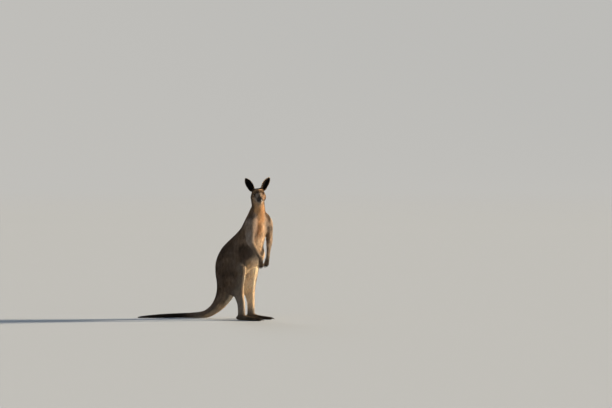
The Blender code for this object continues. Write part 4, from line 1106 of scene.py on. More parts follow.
def ear_spot(side, p, n):
    """For each point: whether it is on this ear, how far its arc is from the rim, and whether it faces into the cup."""
    place = ear_place(side)
    q = into(place, p)
    v = np.clip(q[:, 2] / EAR_LENGTH, 0, 1)
    low = 0.58 + 0.42 * np.sin(np.pi * v / 0.88)
    high = np.maximum(0.02, 1 - np.maximum(0, (v - 0.44) / 0.56) ** 2.1) ** 0.75
    width = 0.5 * EAR_WIDTH * np.where(v < 0.44, low, high)
    opening = np.radians(132 - 67 * np.minimum(1, v / 0.35) - 22 * v)
    radius = width / np.sin(np.minimum(opening, np.pi / 2))
    lean = 0.010 * np.sin(np.pi * v)
    x, y = radius - lean - q[:, 0], q[:, 1]
    around = np.arctan2(y, x)
    m = np.array(place.to_3x3().inverted(), float)
    n_local = n @ m.T
    into_cup = n_local[:, 0] * x - n_local[:, 1] * y
    near = (np.abs(np.hypot(x, y) - radius) < 0.010) & (q[:, 2] > 0.006) & (q[:, 2] < EAR_LENGTH + 0.008)
    edge = np.minimum((opening - np.abs(around)) * radius, (EAR_LENGTH - q[:, 2]) * 0.45)
    return near, edge, into_cup, v


def markings_and_painted_light(p, n, kinds, nose):
    """The coat's colour at each point of the skin, with painted light and shade."""
    spot, up, left = long_place(p)
    up = up + 0.05 * wobble(p, 0.09, 2.0)
    x, y, z = p.T
    # trunk, neck and haunch
    front = mixed(TONE["belly"], TONE["chest"], smooth(z, 0.76, 0.90))
    front = mixed(front, TONE["groin"], smooth(z, 0.62, 0.50))
    front = mixed(front, TONE["throat"], smooth(z, 1.08, 1.16))
    # painted light: the far half of the chest, the side the key light falls on, is made creamier below the collar
    front = mixed(front, TONE["belly"], 0.80 * smooth(left, -0.10, 0.28) * smooth(z, 1.00, 0.93))
    # painted shade: the hollow beside the breastbone, on the side of the near foreleg, is made darker than the far side
    painted_chest_shade = smooth(left, 0.16, -0.22) * smooth(z, 0.78, 0.85) * smooth(z, 0.98, 0.92)
    front = front * (1 - np.outer(0.50 * painted_chest_shade, (0.92, 1.0, 1.0)))
    # the chest's side towards the foreleg is greyer than its middle
    stripe = np.abs(left) * smooth(z, 0.74, 0.82) * smooth(z, 1.10, 1.02)
    front = mixed(front, TONE["arm"], 0.75 * smooth(stripe, 0.22, 0.62))
    side_tone = mixed(TONE["back"], TONE["flank"], smooth(up, 0.80, -0.05))
    side_tone = mixed(side_tone, TONE["nape"], smooth(z, 0.90, 1.05) * 0.8)
    turn_at = 0.55 + 0.22 * smooth(z, 0.92, 0.74)
    # painted shade in the fold of the lower belly behind the near forearm, on the near side only, in the back's colour
    painted_fold_shade = smooth(np.hypot((x - 0.075) / 0.115, (z - 0.672) / 0.095), 1.0, 0.50) * smooth(y, 0.045, -0.015)
    trunk = mixed(side_tone, front, smooth(-up, turn_at, turn_at + 0.26))
    trunk = mixed(trunk, TONE["back"] * 1.15, 0.86 * painted_fold_shade)
    side = np.where(y > 0, 1.0, -1.0)
    inner = smooth(n[:, 1] * side, 0.22, -0.42)
    haunch = mixed(TONE["back"] * 1.02, TONE["flank"], smooth(x + 0.25 * (z - 0.45), -0.09, 0.05) * 0.75)
    haunch = mixed(haunch, TONE["flank"], smooth(z, 0.42, 0.30) * 0.6)
    # paler hair over the hip in an arc, and low on the back of the thigh; the arc over the hip is also painted light on
    # the hip's lit bulge
    lit_hip_arc = np.exp(-((np.hypot((x + 0.085) / 0.105, (z - 0.50) / 0.105) - 1) / 0.20) ** 2) * smooth(z, 0.49, 0.56) * smooth(x, -0.20, -0.15)
    low_patch = smooth(np.hypot((x + 0.078) / 0.080, (z - 0.385) / 0.085), 1.0, 0.35)
    paler = np.maximum(lit_hip_arc, low_patch) * np.clip(0.62 + 0.6 * wobble(p * np.array([1.0, 1.0, 0.5]), 0.028, 17.0), 0, 1)
    haunch = mixed(haunch, TONE["flank"] * 1.35, 0.85 * paler)
    trunk = mixed(trunk, TONE["flank"] * 1.35, 0.75 * paler * smooth(-up, 0.35, 0.05))
    haunch = mixed(haunch, TONE["shank"] * 0.66, smooth(x - 0.10 * (z - 0.45), -0.020, 0.030))
    haunch = mixed(haunch, TONE["groin"], inner * smooth(z, 0.60, 0.52))
    shank = mixed(TONE["shank"], TONE["shank_inside"], inner * smooth(z, 0.06, 0.18))
    shank = mixed(shank, TONE["belly"], 0.45 * smooth(n[:, 0], 0.55, 0.95) * smooth(z, 0.10, 0.22))
    under = smooth(up, -0.05, -0.62)
    tail = mixed(TONE["tail"], TONE["tail_under"], under * smooth(x, -0.56, -0.38))
    tail = mixed(tail, TONE["tail_end"], smooth(x, -0.50, -0.66))
    foot = mixed(TONE["instep"], TONE["foot"], smooth(x, 0.03, 0.12))
    arm = mixed(TONE["arm"], TONE["arm_inside"], inner * 0.8)
    tones = {"trunk": trunk, "neck": trunk, "thigh": haunch, "tail": tail, "tail_end": tail, "shank": shank,
             "ankle": mixed(shank, TONE["instep"], smooth(z, 0.080, 0.035)), "foot": foot, "upper_arm": arm,
             "forearm": mixed(arm, TONE["forearm"], smooth(z, 0.78, 0.68)), "hand": np.repeat(TONE["hand"][None], len(p), 0)}
    # the head, in its own frame
    h = into(HEAD, p)
    m = np.array(HEAD.to_3x3().inverted(), float)
    nh = n @ m.T
    hx, hy, hz = h[:, 0], np.abs(h[:, 1]), h[:, 2]
    # the crown darker than the rest of the head: painted shade
    skull = mixed(TONE["head"], TONE["crown"], smooth(hz, 0.018, 0.045) * smooth(hx, 0.045, 0.0))
    skull = mixed(skull, TONE["cheek"], smooth(hz, -0.004, -0.026) * smooth(hx, -0.034, 0.004))
    skull = mixed(skull, TONE["throat"], smooth(nh[:, 2], -0.25, -0.72))
    for s in (1, -1):
        d = h - np.array(mirror_y(EYE_AT, s))
        r = np.linalg.norm(d, axis=1)
        skull = mixed(skull, TONE["brow"], 0.75 * np.exp(-((r - 0.028) / 0.007) ** 2) * smooth(d[:, 2], -0.004, 0.010))
        fore, above, _ = (np.array(a) for a in eye_axes(s))
        patch_gap = np.hypot((d @ fore - 0.005) / 0.0285, (d @ above + 0.002) / 0.0290)
        skull = mixed(skull, TONE["lid"], 0.94 * smooth(patch_gap, 1.12, 0.66) * (r < 0.045))
    # a dark forehead and crown, painted shadow over the top of the face; and a redder, browner left cheek, also
    # darkened as painted shade
    painted_forehead_shadow = smooth(hz, -0.006, 0.016) * smooth(hx, -0.050, -0.012)
    skull = mixed(skull, np.array([.020, .014, .012]), 0.92 * painted_forehead_shadow)
    muzzle = mixed(TONE["muzzle"], TONE["bridge"], smooth(hy, 0.0205, 0.0095) * smooth(hz + 0.28 * (hx - 0.10), -0.016, -0.002))
    muzzle = mixed(muzzle, TONE["lip"], smooth(hz, -0.030, -0.040) * smooth(hx, 0.128, 0.112))
    muzzle = mixed(muzzle, TONE["throat"], smooth(nh[:, 2], -0.45, -0.85))
    muzzle = mixed(muzzle, TONE["nose"] * 2.6, 0.88 * smooth(hx, 0.100, 0.114) * smooth(hz, -0.036, -0.027))
    mouth_line = -0.0440 - 0.0036 * smooth(hx, 0.122, 0.092) + 0.0010 * smooth(hx, 0.074, 0.060)
    on_line = np.exp(-((hz - mouth_line) / 0.0019) ** 2) * smooth(hx, 0.060, 0.072)
    muzzle = mixed(muzzle, TONE["mouth"], 0.9 * on_line)
    # the left cheek and side of the muzzle: browner, redder hair, darkened further as painted shade on the side the key
    # light falls on
    left_cheek_shade = smooth(h[:, 1], 0.012, 0.024) * smooth(hz, -0.046, -0.030) * smooth(hx, 0.125, 0.105)
    skull = skull * (1 - np.outer(left_cheek_shade, (0.56, 0.66, 0.69)))
    muzzle = muzzle * (1 - np.outer(left_cheek_shade, (0.60, 0.69, 0.72)))
    # a dark streak from the inner corner of each eye down towards the nostril
    streak_way = np.array([0.072, -0.0125, -0.0330])
    inner_corner = np.array([0.040, 0.0370, 0.0130])
    from_corner = np.stack([hx, hy, hz], 1) - inner_corner
    share_down = np.clip(from_corner @ streak_way / (streak_way @ streak_way), 0, 1)
    streak_gap = np.linalg.norm(from_corner - share_down[:, None] * streak_way, axis=1)
    streak = 0.90 * smooth(streak_gap, 0.0185, 0.0075) * (1 - 0.45 * share_down)
    muzzle = mixed(muzzle, TONE["dusk"], streak)
    skull = mixed(skull, TONE["dusk"], streak)
    skull = mixed(skull, muzzle, smooth(hx, 0.048, 0.072))
    # painted shadow under the jaw, where the throat meets the head
    hollow = np.hypot(np.hypot((hx - 0.030) / 0.045, (hz + 0.074) / 0.022), h[:, 1] / 0.050)
    painted_jaw_shadow = 0.72 * smooth(hollow, 1.15, 0.55)
    skull = mixed(skull, TONE["nape"] * 0.8, painted_jaw_shadow)
    tones["neck"] = mixed(trunk, TONE["nape"] * 0.8, painted_jaw_shadow)
    tones["skull"], tones["muzzle"] = skull, mixed(skull, muzzle, smooth(hx, 0.044, 0.066))
    ear = skull.copy()
    on_ears = np.zeros(len(p))
    for s in (1, -1):
        near, edge, cup, v = ear_spot(s, p, n)
        inside = mixed(TONE["ear_inside"] * 1.3, TONE["ear_inside"], smooth(edge, 0.010, 0.020))
        inside = mixed(inside, TONE["ear_rim"], smooth(edge, 0.0062, 0.0020))
        back = mixed(TONE["ear_back"], TONE["ear_rim"], smooth(edge, 0.0045, 0.0010) * 0.8)
        back = mixed(back, TONE["back"] * 0.6, smooth(v, 0.72, 0.95))
        tone = np.where((cup > 0)[:, None], inside, back)
        ear = np.where(near[:, None], tone, ear)
        on_ears = np.maximum(on_ears, near * smooth(v, 0.05, 0.16))
    tones["ear"] = ear
    out = sum(kinds[k][:, None] * np.broadcast_to(tones[k], (len(p), 3)) for k in kinds)
    out = np.where((on_ears > 0)[:, None], mixed(out, ear, on_ears), out)
    # soft clouds of darker and lighter hair, long streaks down the haunch and flank, and a warmer tinge here and there
    streaky = np.maximum(kinds["trunk"], kinds["thigh"]) * smooth(up, -0.9, -0.4)
    mottle = kinds["trunk"] * (1 - streaky) + kinds["neck"]
    cloud = 1 + (0.16 + 0.16 * streaky) * wobble(p, 0.085, 4.0) + (0.09 + 0.34 * streaky + 0.12 * mottle) * wobble(p * np.array([1.0, 1.0, 0.42]), 0.032, 7.0)
    tinge = 0.5 + 0.5 * wobble(p, 0.14, 11.0)
    out = out * cloud[:, None] * mixed(np.array([0.99, 1.0, 1.03]), np.array([1.10, 0.99, 0.86]), tinge)
    out = mixed(out, TONE["nose"], smooth(nose, 0.30, 0.60))
    out = mixed(out, TONE["sole"], smooth(n[:, 2], -0.75, -0.95) * smooth(z, 0.010, 0.004))
    return out, on_ears


colours, on_ears = markings_and_painted_light(points, normals, kinds, nose)
h = into(HEAD, points)
open_eye = np.zeros(len(points))
for side in (1, -1):
    fore, up, out = (np.array(a) for a in eye_axes(side))
    v = h - np.array(mirror_y(EYE_AT, side))
    r = np.linalg.norm(v, axis=1)
    u = v / np.maximum(r, 1e-9)[:, None]
    a, b, o = u @ fore, u @ up, u @ out
    q = np.sqrt((a / LID_LONG) ** 2 + ((b + 0.02) / LID_HIGH) ** 2)
    open_eye = np.maximum(open_eye, (r < EYE_RADIUS + 0.006) * (o > 0.05) * smooth(q, 1.16, 1.06))
colours = mixed(colours, TONE["lid"] * 0.5, open_eye)
said("markings_and_painted_light")

# ------------------------------------------------------------------ the skin's own unwrap
skin = body
skin.name = "skin"
mesh.shade_smooth()
bpy.context.view_layer.objects.active = skin
for other in bpy.context.view_layer.objects:
    other.select_set(other == skin)
mesh.uv_layers.new(name="OFBake")
bpy.ops.object.mode_set(mode="EDIT")
bpy.ops.mesh.select_all(action="SELECT")
bpy.ops.uv.smart_project(angle_limit=math.radians(66), island_margin=0.002)
bpy.ops.object.mode_set(mode="OBJECT")
mesh = skin.data
flat = np.empty(len(mesh.loops) * 2, np.float32)
mesh.uv_layers["OFBake"].data.foreach_get("uv", flat)
flat = flat.reshape(-1, 2).astype(float)


def store_colours(mesh, name, rgb):
    data = np.ones((len(rgb), 4), np.float32)
    data[:, :3] = np.clip(rgb, 0.0, 1.0)
    mesh.attributes.new(name, "FLOAT_COLOR", "POINT").data.foreach_set("color", data.ravel())


store_colours(mesh, "coat_colour", colours * (0.88 + 0.12 * smooth(nose, 0.3, 0.6))[:, None])
said("unwrapped")

# ------------------------------------------------------------------ the coat: tufts that follow the lie of the hair
TUFTS = 238000
AREA_PIECES = 33000   # tufts in one piece at most, six triangles each
random = np.random.default_rng(7)

corner = points[triangles]
face = np.cross(corner[:, 1] - corner[:, 0], corner[:, 2] - corner[:, 0])
area = np.linalg.norm(face, axis=1) / 2
face_normal = unit(face)
bare = np.maximum(nose, open_eye)
bare = np.maximum(bare, smooth(normals[:, 2], -0.60, -0.85) * smooth(points[:, 2], 0.010, 0.005))
density = size[:, 3] * (1 - smooth(bare, 0.25, 0.55))
want = area * 1e4 * density[triangles].mean(1)
want *= TUFTS / want.sum()


def spread(v):
    v = v.astype(np.uint64)
    for shift, mask in ((16, 0x30000FF), (8, 0x300F00F), (4, 0x30C30C3), (2, 0x9249249)):
        v = (v | (v << np.uint64(shift))) & np.uint64(mask)
    return v


middle = corner.mean(1)
cell = ((middle - middle.min(0)) / (np.ptp(middle, axis=0).max()) * 1023).astype(np.uint64)
order = np.argsort(spread(cell[:, 0]) | (spread(cell[:, 1]) << np.uint64(1)) | (spread(cell[:, 2]) << np.uint64(2)), kind="stable")
total = np.concatenate([[0], np.cumsum(want[order])])
picks = np.arange(int(total[-1])) + 0.5 + random.uniform(-0.35, 0.35, int(total[-1]))
home = order[np.clip(np.searchsorted(total, picks, side="right") - 1, 0, len(order) - 1)]
r1, r2 = random.random(len(home)), random.random(len(home))
flip = r1 + r2 > 1
r1, r2 = np.where(flip, 1 - r1, r1), np.where(flip, 1 - r2, r2)
share = np.stack([1 - r1 - r2, r1, r2], 1)


def at_root(values):
    return (values[triangles[home]] * share.reshape(len(home), 3, *([1] * (values.ndim - 1)))).sum(1)


root, n_root, lie_root, size_root = at_root(points), unit(at_root(normals)), at_root(lie), at_root(size)
tone_root, ear_root = at_root(colours), at_root(on_ears)
uv_root = (flat[corner_loops[home]] * share[:, :, None]).sum(1)
count = len(home)


def tangent(v, n):
    return unit(v - n * (v * n).sum(1)[:, None])


def turned_by(v, n, angle):
    return v * np.cos(angle)[:, None] + np.cross(n, v) * np.sin(angle)[:, None]


flow = tangent(lie_root, n_root)
swirl = np.radians(15) * wobble(root, 0.055, 1.0) + np.radians(9) * wobble(root, 0.020, 3.0) + np.radians(8) * random.standard_normal(count)
flow = turned_by(flow, n_root, swirl)
# round the eyes the hair parts and lies away from the lids
h_root = into(HEAD, root)
lid_gap = np.full(count, 1.0)
for side in (1, -1):
    centre = np.array(HEAD @ Vector(mirror_y(EYE_AT, side)))
    gap = np.linalg.norm(root - centre, axis=1)
    away = tangent(root - centre, n_root)
    flow = tangent(flow + away * (1.7 * smooth(gap, 0.030, 0.016))[:, None], n_root)
    lid_gap = np.minimum(lid_gap, gap)
deep, long, wide = (size_root[:, i] / 1000 for i in range(3))
long = long * random.uniform(0.78, 1.22, count) * (1 + 0.10 * wobble(root, 0.045, 5.0))
wide = wide * random.uniform(0.80, 1.20, count)
fine = 0.42 + 0.58 * smooth(lid_gap, 0.016, 0.040)
line_gap = np.where(np.linalg.norm(h_root, axis=1) < 0.18, np.hypot(h_root[:, 2] + 0.046, np.maximum(0, 0.062 - h_root[:, 0])), 1.0)
fine = np.minimum(fine, 0.60 + 0.40 * smooth(line_gap, 0.002, 0.010))
deep, long, wide = deep * fine, long * fine, wide * np.sqrt(fine)

tree = BVHTree.FromPolygons(points.tolist(), triangles.tolist())
find = tree.find_nearest


def on_skin(p):
    """The nearest places on the skin, and its normals there."""
    place, faced = np.empty_like(p), np.empty(len(p), int)
    for i, q in enumerate(p.tolist()):
        hit = find(q)
        place[i], faced[i] = hit[0], hit[2]
    return place, faced


lift = random.uniform(0.78, 1.04, count)
mid_at, mid_face = on_skin(root + flow * (long * 0.46)[:, None] + n_root * (deep * 0.5)[:, None])
mid_n = unit(0.6 * face_normal[mid_face] + 0.4 * n_root)
flow_mid = tangent(mid_at - root, mid_n)
tip_at, tip_face = on_skin(mid_at + flow_mid * (long * 0.54)[:, None] + mid_n * (deep * 0.5)[:, None])
tip_n = unit(0.7 * face_normal[tip_face] + 0.3 * mid_n)
mid = mid_at + mid_n * (deep * 0.62 * lift)[:, None]
tip = tip_at + tip_n * (deep * 0.98 * lift)[:, None]
across = unit(np.cross(mid_n, flow_mid))
low = root - n_root * 0.0006
ring = [mid + across * (wide * 0.5)[:, None] - mid_n * (wide * 0.10)[:, None],
        mid - across * (wide * 0.5)[:, None] - mid_n * (wide * 0.10)[:, None],
        mid + mid_n * (wide * 0.22)[:, None]]
verts = np.stack([low, ring[0], ring[2], ring[1], tip], 1)
verts[:, :, 2] = np.maximum(verts[:, :, 2], 0.0004)
FACES = np.array([(0, 2, 1), (0, 3, 2), (0, 1, 3), (4, 1, 2), (4, 2, 3), (4, 3, 1)])

shade = (1 + 0.17 * random.standard_normal(count).clip(-2, 2)) * (1 + 0.07 * wobble(root, 0.012, 9.0))
pale = random.random(count) < 0.16
shade = np.where(pale, shade * 1.45, shade)
along = np.array([0.86, 0.98, 1.02, 0.98, 1.12])
tuft_tone = (tone_root * shade[:, None])[:, None, :] * along[None, :, None]
# the patch of each tuft: its root's place on the skin's unwrap, three strips side by side
PATCH = 0.003
strip = []
for k in range(3):
    low_uv, left_uv, right_uv, top_uv = ((k + 0.5) / 3, 0), (k / 3, 0.5), ((k + 1) / 3, 0.5), ((k + 0.5) / 3, 1)
    strip.append([low_uv, right_uv, left_uv])
for k in range(3):
    low_uv, left_uv, right_uv, top_uv = ((k + 0.5) / 3, 0), (k / 3, 0.5), ((k + 1) / 3, 0.5), ((k + 0.5) / 3, 1)
    strip.append([top_uv, left_uv, right_uv])
strip = np.array(strip)
patch = (strip - 0.5) * np.array([0.8, 1.0]) * PATCH

# pieces of the coat, by the part of the body that each tuft grows on
strongest = np.array(list(kinds))[np.argmax(np.stack([at_root(kinds[k]) for k in kinds]), axis=0)]
rx, ry, rz = root.T
side_name = np.where(ry > 0, "left", "right")
region = np.full(count, "trunk_low", dtype="<U24")
groups = [
    (np.isin(strongest, ["tail", "tail_end"]), "tail"),
    (np.isin(strongest, ["skull", "muzzle"]), "head"),
    (strongest == "ear", "ears"),
    (strongest == "neck", "neck"),
    ((strongest == "trunk") & (rz > 0.80), "chest"),
    ((strongest == "trunk") & (rz <= 0.80) & (rz > 0.62), "belly"),
    ((strongest == "thigh") & (ry > 0), "haunch_left"), ((strongest == "thigh") & (ry <= 0), "haunch_right"),
    (np.isin(strongest, ["shank", "ankle", "foot"]) & (ry > 0), "leg_left"),
    (np.isin(strongest, ["shank", "ankle", "foot"]) & (ry <= 0), "leg_right"),
    (np.isin(strongest, ["upper_arm", "forearm", "hand"]), "arms"),
]
for mask, name in groups:
    region[mask] = name
coat = {}
for name in sorted(set(region)):
    members = np.flatnonzero(region == name)
    parts = -(-len(members) // AREA_PIECES)
    for k in range(parts):
        chosen = members[np.argsort(rz[members], kind="stable")][k * len(members) // parts:(k + 1) * len(members) // parts]
        amount = len(chosen)
        label = f"coat_{name}" + (f"_{k + 1}" if parts > 1 else "")
        data = bpy.data.meshes.new(label)
        data.vertices.add(amount * 5)
        data.vertices.foreach_set("co", verts[chosen].astype(np.float32).ravel())
        corners = (FACES[None] + (np.arange(amount) * 5)[:, None, None]).reshape(-1)
        data.loops.add(len(corners))
        data.loops.foreach_set("vertex_index", corners.astype(np.int32))
        data.polygons.add(amount * 6)
        data.polygons.foreach_set("loop_start", (np.arange(amount * 6) * 3).astype(np.int32))
        data.update(calc_edges=True)
        data.shade_smooth()
        uv = (uv_root[chosen][:, None, None, :] + patch[None]).reshape(-1, 2)
        data.uv_layers.new(name="OFBake").data.foreach_set("uv", uv.astype(np.float32).ravel())
        store_colours(data, "coat_colour", tuft_tone[chosen].reshape(-1, 3))
        coat[label] = link(bpy.data.objects.new(label, data))
        print(label, amount, "tufts")
said(f"coat of {count} tufts")


# ------------------------------------------------------------------ lashes and whiskers
def spikes(name, lines):
    """Thin tapering hairs, each through its points, as one mesh."""
    bm = bmesh.new()
    for pts, radius in lines:
        pts = [Vector(p) for p in pts]
        tip_vert, rings = bm.verts.new(pts[-1]), []
        for i, p in enumerate(pts[:-1]):
            t = (pts[i + 1] - p).normalized()
            s = t.orthogonal().normalized()
            c = t.cross(s)
            r = radius * (1 - i / len(pts))
            rings.append([bm.verts.new(p + (s * math.cos(a) + c * math.sin(a)) * r) for a in (0.0, 2.094, 4.189)])
        for a, b in zip(rings, rings[1:]):
            for k in range(3):
                bm.faces.new((a[k], a[(k + 1) % 3], b[(k + 1) % 3], b[k]))
        for k in range(3):
            bm.faces.new((rings[-1][k], rings[-1][(k + 1) % 3], tip_vert))
        bm.faces.new(rings[0][::-1])
    bmesh.ops.recalc_face_normals(bm, faces=bm.faces)
    return piece(name, bm)


fine_hairs = {}
for name, side in SIDES.items():
    fore, up, out = eye_axes(side)
    lines = []
    for i in range(26):
        x, y = lid_line(math.radians(20 + 140 * i / 25))
        d = fore * x + up * y
        d = (d + out * math.sqrt(max(0.02, 1 - d.length_squared))).normalized()
        start = Vector(mirror_y(EYE_AT, side)) + d * (EYE_RADIUS + 0.0012)
        reach = 0.0062 + 0.0026 * math.sin(i * 1.9) ** 2
        sweep = (out * 0.85 + up * 0.30 - fore * (0.25 - 0.5 * x)).normalized()
        lines.append(([HEAD @ start, HEAD @ (start + sweep * reach * 0.55 - up * 0.0007), HEAD @ (start + sweep * reach + up * 0.0012)], 0.00022))
    fine_hairs["lashes_" + name] = spikes("lashes_" + name, lines)
    lines = []
    for i, (wx, wz, reach) in enumerate([(0.118, -0.030, 0.034), (0.112, -0.034, 0.042), (0.108, -0.028, 0.040), (0.101, -0.034, 0.048),
                                         (0.098, -0.027, 0.044), (0.091, -0.033, 0.046), (0.104, -0.038, 0.036), (0.116, -0.037, 0.028)]):
        hit = tree.find_nearest(HEAD @ Vector((wx, side * 0.034, wz)))
        start = hit[0]
        way = (HEAD.to_3x3() @ Vector((-0.30 - 0.03 * i, side * 0.85, -0.25 - 0.05 * (i % 3)))).normalized()
        droop = Vector((0, 0, -1))
        lines.append(([start - way * 0.001, start + way * reach * 0.4, start + way * reach * 0.75 + droop * 0.003,
                       start + way * reach * 0.97 + droop * 0.008], 0.00024))
    fine_hairs["whiskers_" + name] = spikes("whiskers_" + name, lines)

# ------------------------------------------------------------------ materials
def material(name, colour=None, rough=0.7, bump=None, **direct):
    """A Principled material; colour is linear, or the name of a colour attribute."""
    mat = bpy.data.materials.new(name)
    mat.use_nodes = True
    nodes, links = mat.node_tree.nodes, mat.node_tree.links
    shader = nodes["Principled BSDF"]
    shader.inputs["Roughness"].default_value = rough
    for socket, value in direct.items():
        shader.inputs[socket.replace("_", " ")].default_value = value
    if isinstance(colour, str):
        source = nodes.new("ShaderNodeAttribute")
        source.attribute_name = colour
        place, grain, span, blend = (nodes.new(kind) for kind in (
            "ShaderNodeTexCoord", "ShaderNodeTexNoise", "ShaderNodeMapRange", "ShaderNodeMix"))
        grain.inputs["Scale"].default_value = 260.0
        grain.inputs["Detail"].default_value = 3.0
        span.inputs["To Min"].default_value = 0.80
        span.inputs["To Max"].default_value = 1.20
        blend.data_type, blend.blend_type = "RGBA", "MULTIPLY"
        blend.inputs[0].default_value = 1.0
        links.new(place.outputs["Object"], grain.inputs["Vector"])
        links.new(grain.outputs["Fac"], span.inputs["Value"])
        links.new(source.outputs["Color"], blend.inputs[6])
        links.new(span.outputs["Result"], blend.inputs[7])
        links.new(blend.outputs[2], shader.inputs["Base Color"])
    else:
        shader.inputs["Base Color"].default_value = (*colour, 1.0)
    if bump:
        scale, strength, distance, stretch = bump
        place, turn, noise, raised = (nodes.new(kind) for kind in (
            "ShaderNodeTexCoord", "ShaderNodeMapping", "ShaderNodeTexNoise", "ShaderNodeBump"))
        turn.inputs["Scale"].default_value = stretch
        noise.inputs["Scale"].default_value = scale
        noise.inputs["Detail"].default_value = 4.0
        noise.inputs["Roughness"].default_value = 0.65
        raised.inputs["Strength"].default_value = strength
        raised.inputs["Distance"].default_value = distance
        links.new(place.outputs["Object"], turn.inputs["Vector"])
        links.new(turn.outputs["Vector"], noise.inputs["Vector"])
        links.new(noise.outputs["Fac"], raised.inputs["Height"])
        links.new(raised.outputs["Normal"], shader.inputs["Normal"])
    return mat


def given(obj, mat):
    obj.data.materials.clear()
    obj.data.materials.append(mat)


fur = material("fur", "coat_colour", 0.74, Specular_IOR_Level=0.03)
under_fur = material("under_fur", "coat_colour", 0.82, (620.0, 0.55, 0.0012, (1.0, 1.0, 0.35)), Specular_IOR_Level=0.03)
nose_leather = material("nose_leather", "coat_colour", 0.40, (900.0, 0.6, 0.0006, (1.0, 1.0, 1.0)), Specular_IOR_Level=0.45)
lid_skin = material("lid_skin", (0.014, 0.011, 0.010), 0.34, Specular_IOR_Level=0.5)
claw_horn = material("claw_horn", (0.028, 0.023, 0.020), 0.30, (340.0, 0.25, 0.0004, (1.0, 1.0, 6.0)), Specular_IOR_Level=0.5)
hair = material("fine_hair", (0.020, 0.016, 0.014), 0.45)

# the eye: a horizontal dark pupil in a deep brown iris, a darker ring round it, then the white's brown edge
eye = material("eye", (0.030, 0.016, 0.010), 0.06, Specular_IOR_Level=0.12)
nodes, links = eye.node_tree.nodes, eye.node_tree.links
gaze, ramp_node = nodes.new("ShaderNodeAttribute"), nodes.new("ShaderNodeValToRGB")
gaze.attribute_name = "gaze"
stops = [(0.0, (0.0016, 0.0014, 0.0014)), (0.34, (0.0020, 0.0016, 0.0014)), (0.40, (0.040, 0.020, 0.010)), (0.66, (0.024, 0.012, 0.007)),
         (0.74, (0.006, 0.004, 0.003)), (1.0, (0.016, 0.010, 0.008))]
ramp_node.color_ramp.elements[0].position, ramp_node.color_ramp.elements[0].color = stops[0][0], (*stops[0][1], 1)
ramp_node.color_ramp.elements[1].position, ramp_node.color_ramp.elements[1].color = stops[-1][0], (*stops[-1][1], 1)
for at, colour in stops[1:-1]:
    ramp_node.color_ramp.elements.new(at).color = (*colour, 1)
links.new(gaze.outputs["Fac"], ramp_node.inputs["Fac"])
links.new(ramp_node.outputs["Color"], eye.node_tree.nodes["Principled BSDF"].inputs["Base Color"])

given(skin, under_fur)
skin.data.materials.append(nose_leather)
bare_face = (np.maximum(nose, smooth(normals[:, 2], -0.75, -0.95) * smooth(points[:, 2], 0.010, 0.004)) > 0.45)
first = np.empty(len(mesh.polygons), np.int32)
mesh.polygons.foreach_get("loop_start", first)
corner_vertex = np.empty(len(mesh.loops), np.int32)
mesh.loops.foreach_get("vertex_index", corner_vertex)
mesh.polygons.foreach_set("material_index", bare_face[corner_vertex[first]].astype(np.int32))
for obj in coat.values():
    given(obj, fur)
for obj in eyes.values():
    given(obj, eye)
for obj in lids.values():
    given(obj, lid_skin)
for obj in claws.values():
    given(obj, claw_horn)
for obj in fine_hairs.values():
    given(obj, hair)

# ------------------------------------------------------------------ each piece into the model frame, and the CAD parts it replaces hidden
to_model = Matrix.Translation((-ORIGIN[0], -ORIGIN[1], 0))
for obj in [skin, *coat.values(), *eyes.values(), *lids.values(), *claws.values(), *fine_hairs.values()]:
    obj.data.transform(to_model)
    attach(obj, "root")
flesh = [n for n in frame["nodes"] if not n.startswith(("eye_", "claw_"))]
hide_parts(*flesh)
for name in SIDES:
    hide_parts("eye_" + name)
    for kind in ("claw_long_", "claw_outer_"):
        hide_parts(kind + name)

# ------------------------------------------------------------------ studio: a pale floor that curves up far away, and soft light
def studio_floor():
    profile = [(0.0, 0.0), (6.0, 0.0), (20.0, 0.0), (34.0, 0.0)]
    profile += [(34.0 + 12.0 * math.sin(a), 15.0 * (1 - math.cos(a))) for a in np.linspace(0.08, math.pi / 2, 20)]
    bm = bmesh.new()
    rings = []
    for radius, height in profile[1:]:
        rings.append([bm.verts.new((radius * math.cos(t), radius * math.sin(t), height)) for t in np.linspace(0, 2 * math.pi, 96, endpoint=False)])
    middle_vert = bm.verts.new((0, 0, 0))
    for i in range(96):
        bm.faces.new((middle_vert, rings[0][i], rings[0][(i + 1) % 96]))
        for a, b in zip(rings, rings[1:]):
            bm.faces.new((a[i], b[i], b[(i + 1) % 96], a[(i + 1) % 96]))
    return piece("studio_floor", bm)


floor = studio_floor()
given(floor, material("studio_floor", (0.36, 0.41, 0.475), 1.0, Specular_IOR_Level=0.0))
nodes, links = floor.data.materials[0].node_tree.nodes, floor.data.materials[0].node_tree.links
where, reach, rise = (nodes.new(kind) for kind in ("ShaderNodeTexCoord", "ShaderNodeVectorMath", "ShaderNodeMapRange"))
reach.operation = "LENGTH"
rise.interpolation_type = "SMOOTHSTEP"
rise.inputs["From Min"].default_value, rise.inputs["From Max"].default_value = 19.0, 33.5
rise.inputs["To Min"].default_value, rise.inputs["To Max"].default_value = 0.0, 1.0
shader = nodes["Principled BSDF"]
ground, glow = nodes.new("ShaderNodeMix"), nodes.new("ShaderNodeMath")
ground.data_type = "RGBA"
ground.inputs[6].default_value, ground.inputs[7].default_value = (0.36, 0.41, 0.475, 1.0), (0.02, 0.02, 0.02, 1.0)
glow.operation = "MULTIPLY"
glow.inputs[1].default_value = 0.50
shader.inputs["Emission Color"].default_value = (1.0, 0.99, 0.95, 1.0)
links.new(where.outputs["Object"], reach.inputs[0])
links.new(reach.outputs["Value"], rise.inputs["Value"])
links.new(rise.outputs["Result"], ground.inputs[0])
links.new(rise.outputs["Result"], glow.inputs[0])
links.new(ground.outputs[2], shader.inputs["Base Color"])
links.new(glow.outputs["Value"], shader.inputs["Emission Strength"])
floor.visible_shadow = False

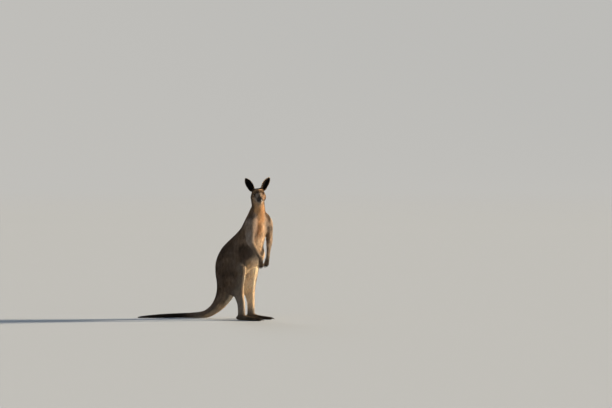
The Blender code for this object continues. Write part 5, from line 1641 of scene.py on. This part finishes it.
CAMERA_AZ, CAMERA_EL, SCALE, LENS, SENSOR = math.radians(28.0), math.radians(2.5), 103.0, 200.0, 36.0
picture_right = Vector((math.cos(CAMERA_AZ), math.sin(CAMERA_AZ), 0))
ahead = Vector((-math.sin(CAMERA_AZ) * math.cos(CAMERA_EL), math.cos(CAMERA_AZ) * math.cos(CAMERA_EL), -math.sin(CAMERA_EL)))
picture_up = picture_right.cross(ahead)
distance = (612 / SCALE) * LENS / SENSOR
aim = (Vector((-ORIGIN[0], -ORIGIN[1], 0)) + picture_right * ((306 - 245.9) / SCALE) + picture_up * ((319.5 - 204) / SCALE))
lens = bpy.data.cameras.new("camera")
lens.lens, lens.sensor_width, lens.clip_start, lens.clip_end = LENS, SENSOR, 0.5, 200.0
camera = link(bpy.data.objects.new("camera", lens))
camera.matrix_world = Matrix.Translation(aim - ahead * distance) @ Matrix((picture_right, picture_up, -ahead)).transposed().to_4x4()
bpy.context.scene.camera = camera


def soft_light(name, away, high, power, spread_angle, colour, at):
    """A distant broad light; away is degrees from the picture's right towards the back, high its elevation."""
    a = CAMERA_AZ + math.radians(away)
    way = Vector((math.cos(a) * math.cos(math.radians(high)), math.sin(a) * math.cos(math.radians(high)), math.sin(math.radians(high))))
    data = bpy.data.lights.new(name, "SUN")
    data.energy, data.angle, data.color = power, math.radians(spread_angle), colour
    lamp = link(bpy.data.objects.new(name, data))
    lamp.matrix_world = Matrix.Translation(at + way * 6.0) @ way.to_track_quat("Z", "Y").to_matrix().to_4x4()


centre_of_body = Vector((0.42, 0.10, 0.75))
soft_light("key", 7.0, 11.0, 18.0, 6.0, (1.0, 0.78, 0.53), centre_of_body)
soft_light("fill", -118.0, 32.0, 0.10, 40.0, (0.80, 0.90, 1.0), centre_of_body)
soft_light("back_fill", 112.0, 30.0, 0.95, 40.0, (0.92, 0.96, 1.0), centre_of_body)
soft_light("left_fill", -165.0, 34.0, 0.34, 50.0, (0.90, 0.95, 1.0), centre_of_body)
soft_light("top", 0.0, 80.0, 0.30, 50.0, (0.90, 0.95, 1.0), centre_of_body)

world = bpy.data.worlds.new("studio")
world.use_nodes = True
world.node_tree.nodes["Background"].inputs["Color"].default_value = (0.80, 0.88, 1.0, 1.0)
world.node_tree.nodes["Background"].inputs["Strength"].default_value = 0.08
bpy.context.scene.world = world
bpy.context.scene.view_settings.view_transform = "Standard"
bpy.context.scene.view_settings.look = "None"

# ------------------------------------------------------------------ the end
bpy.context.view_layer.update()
said("done")
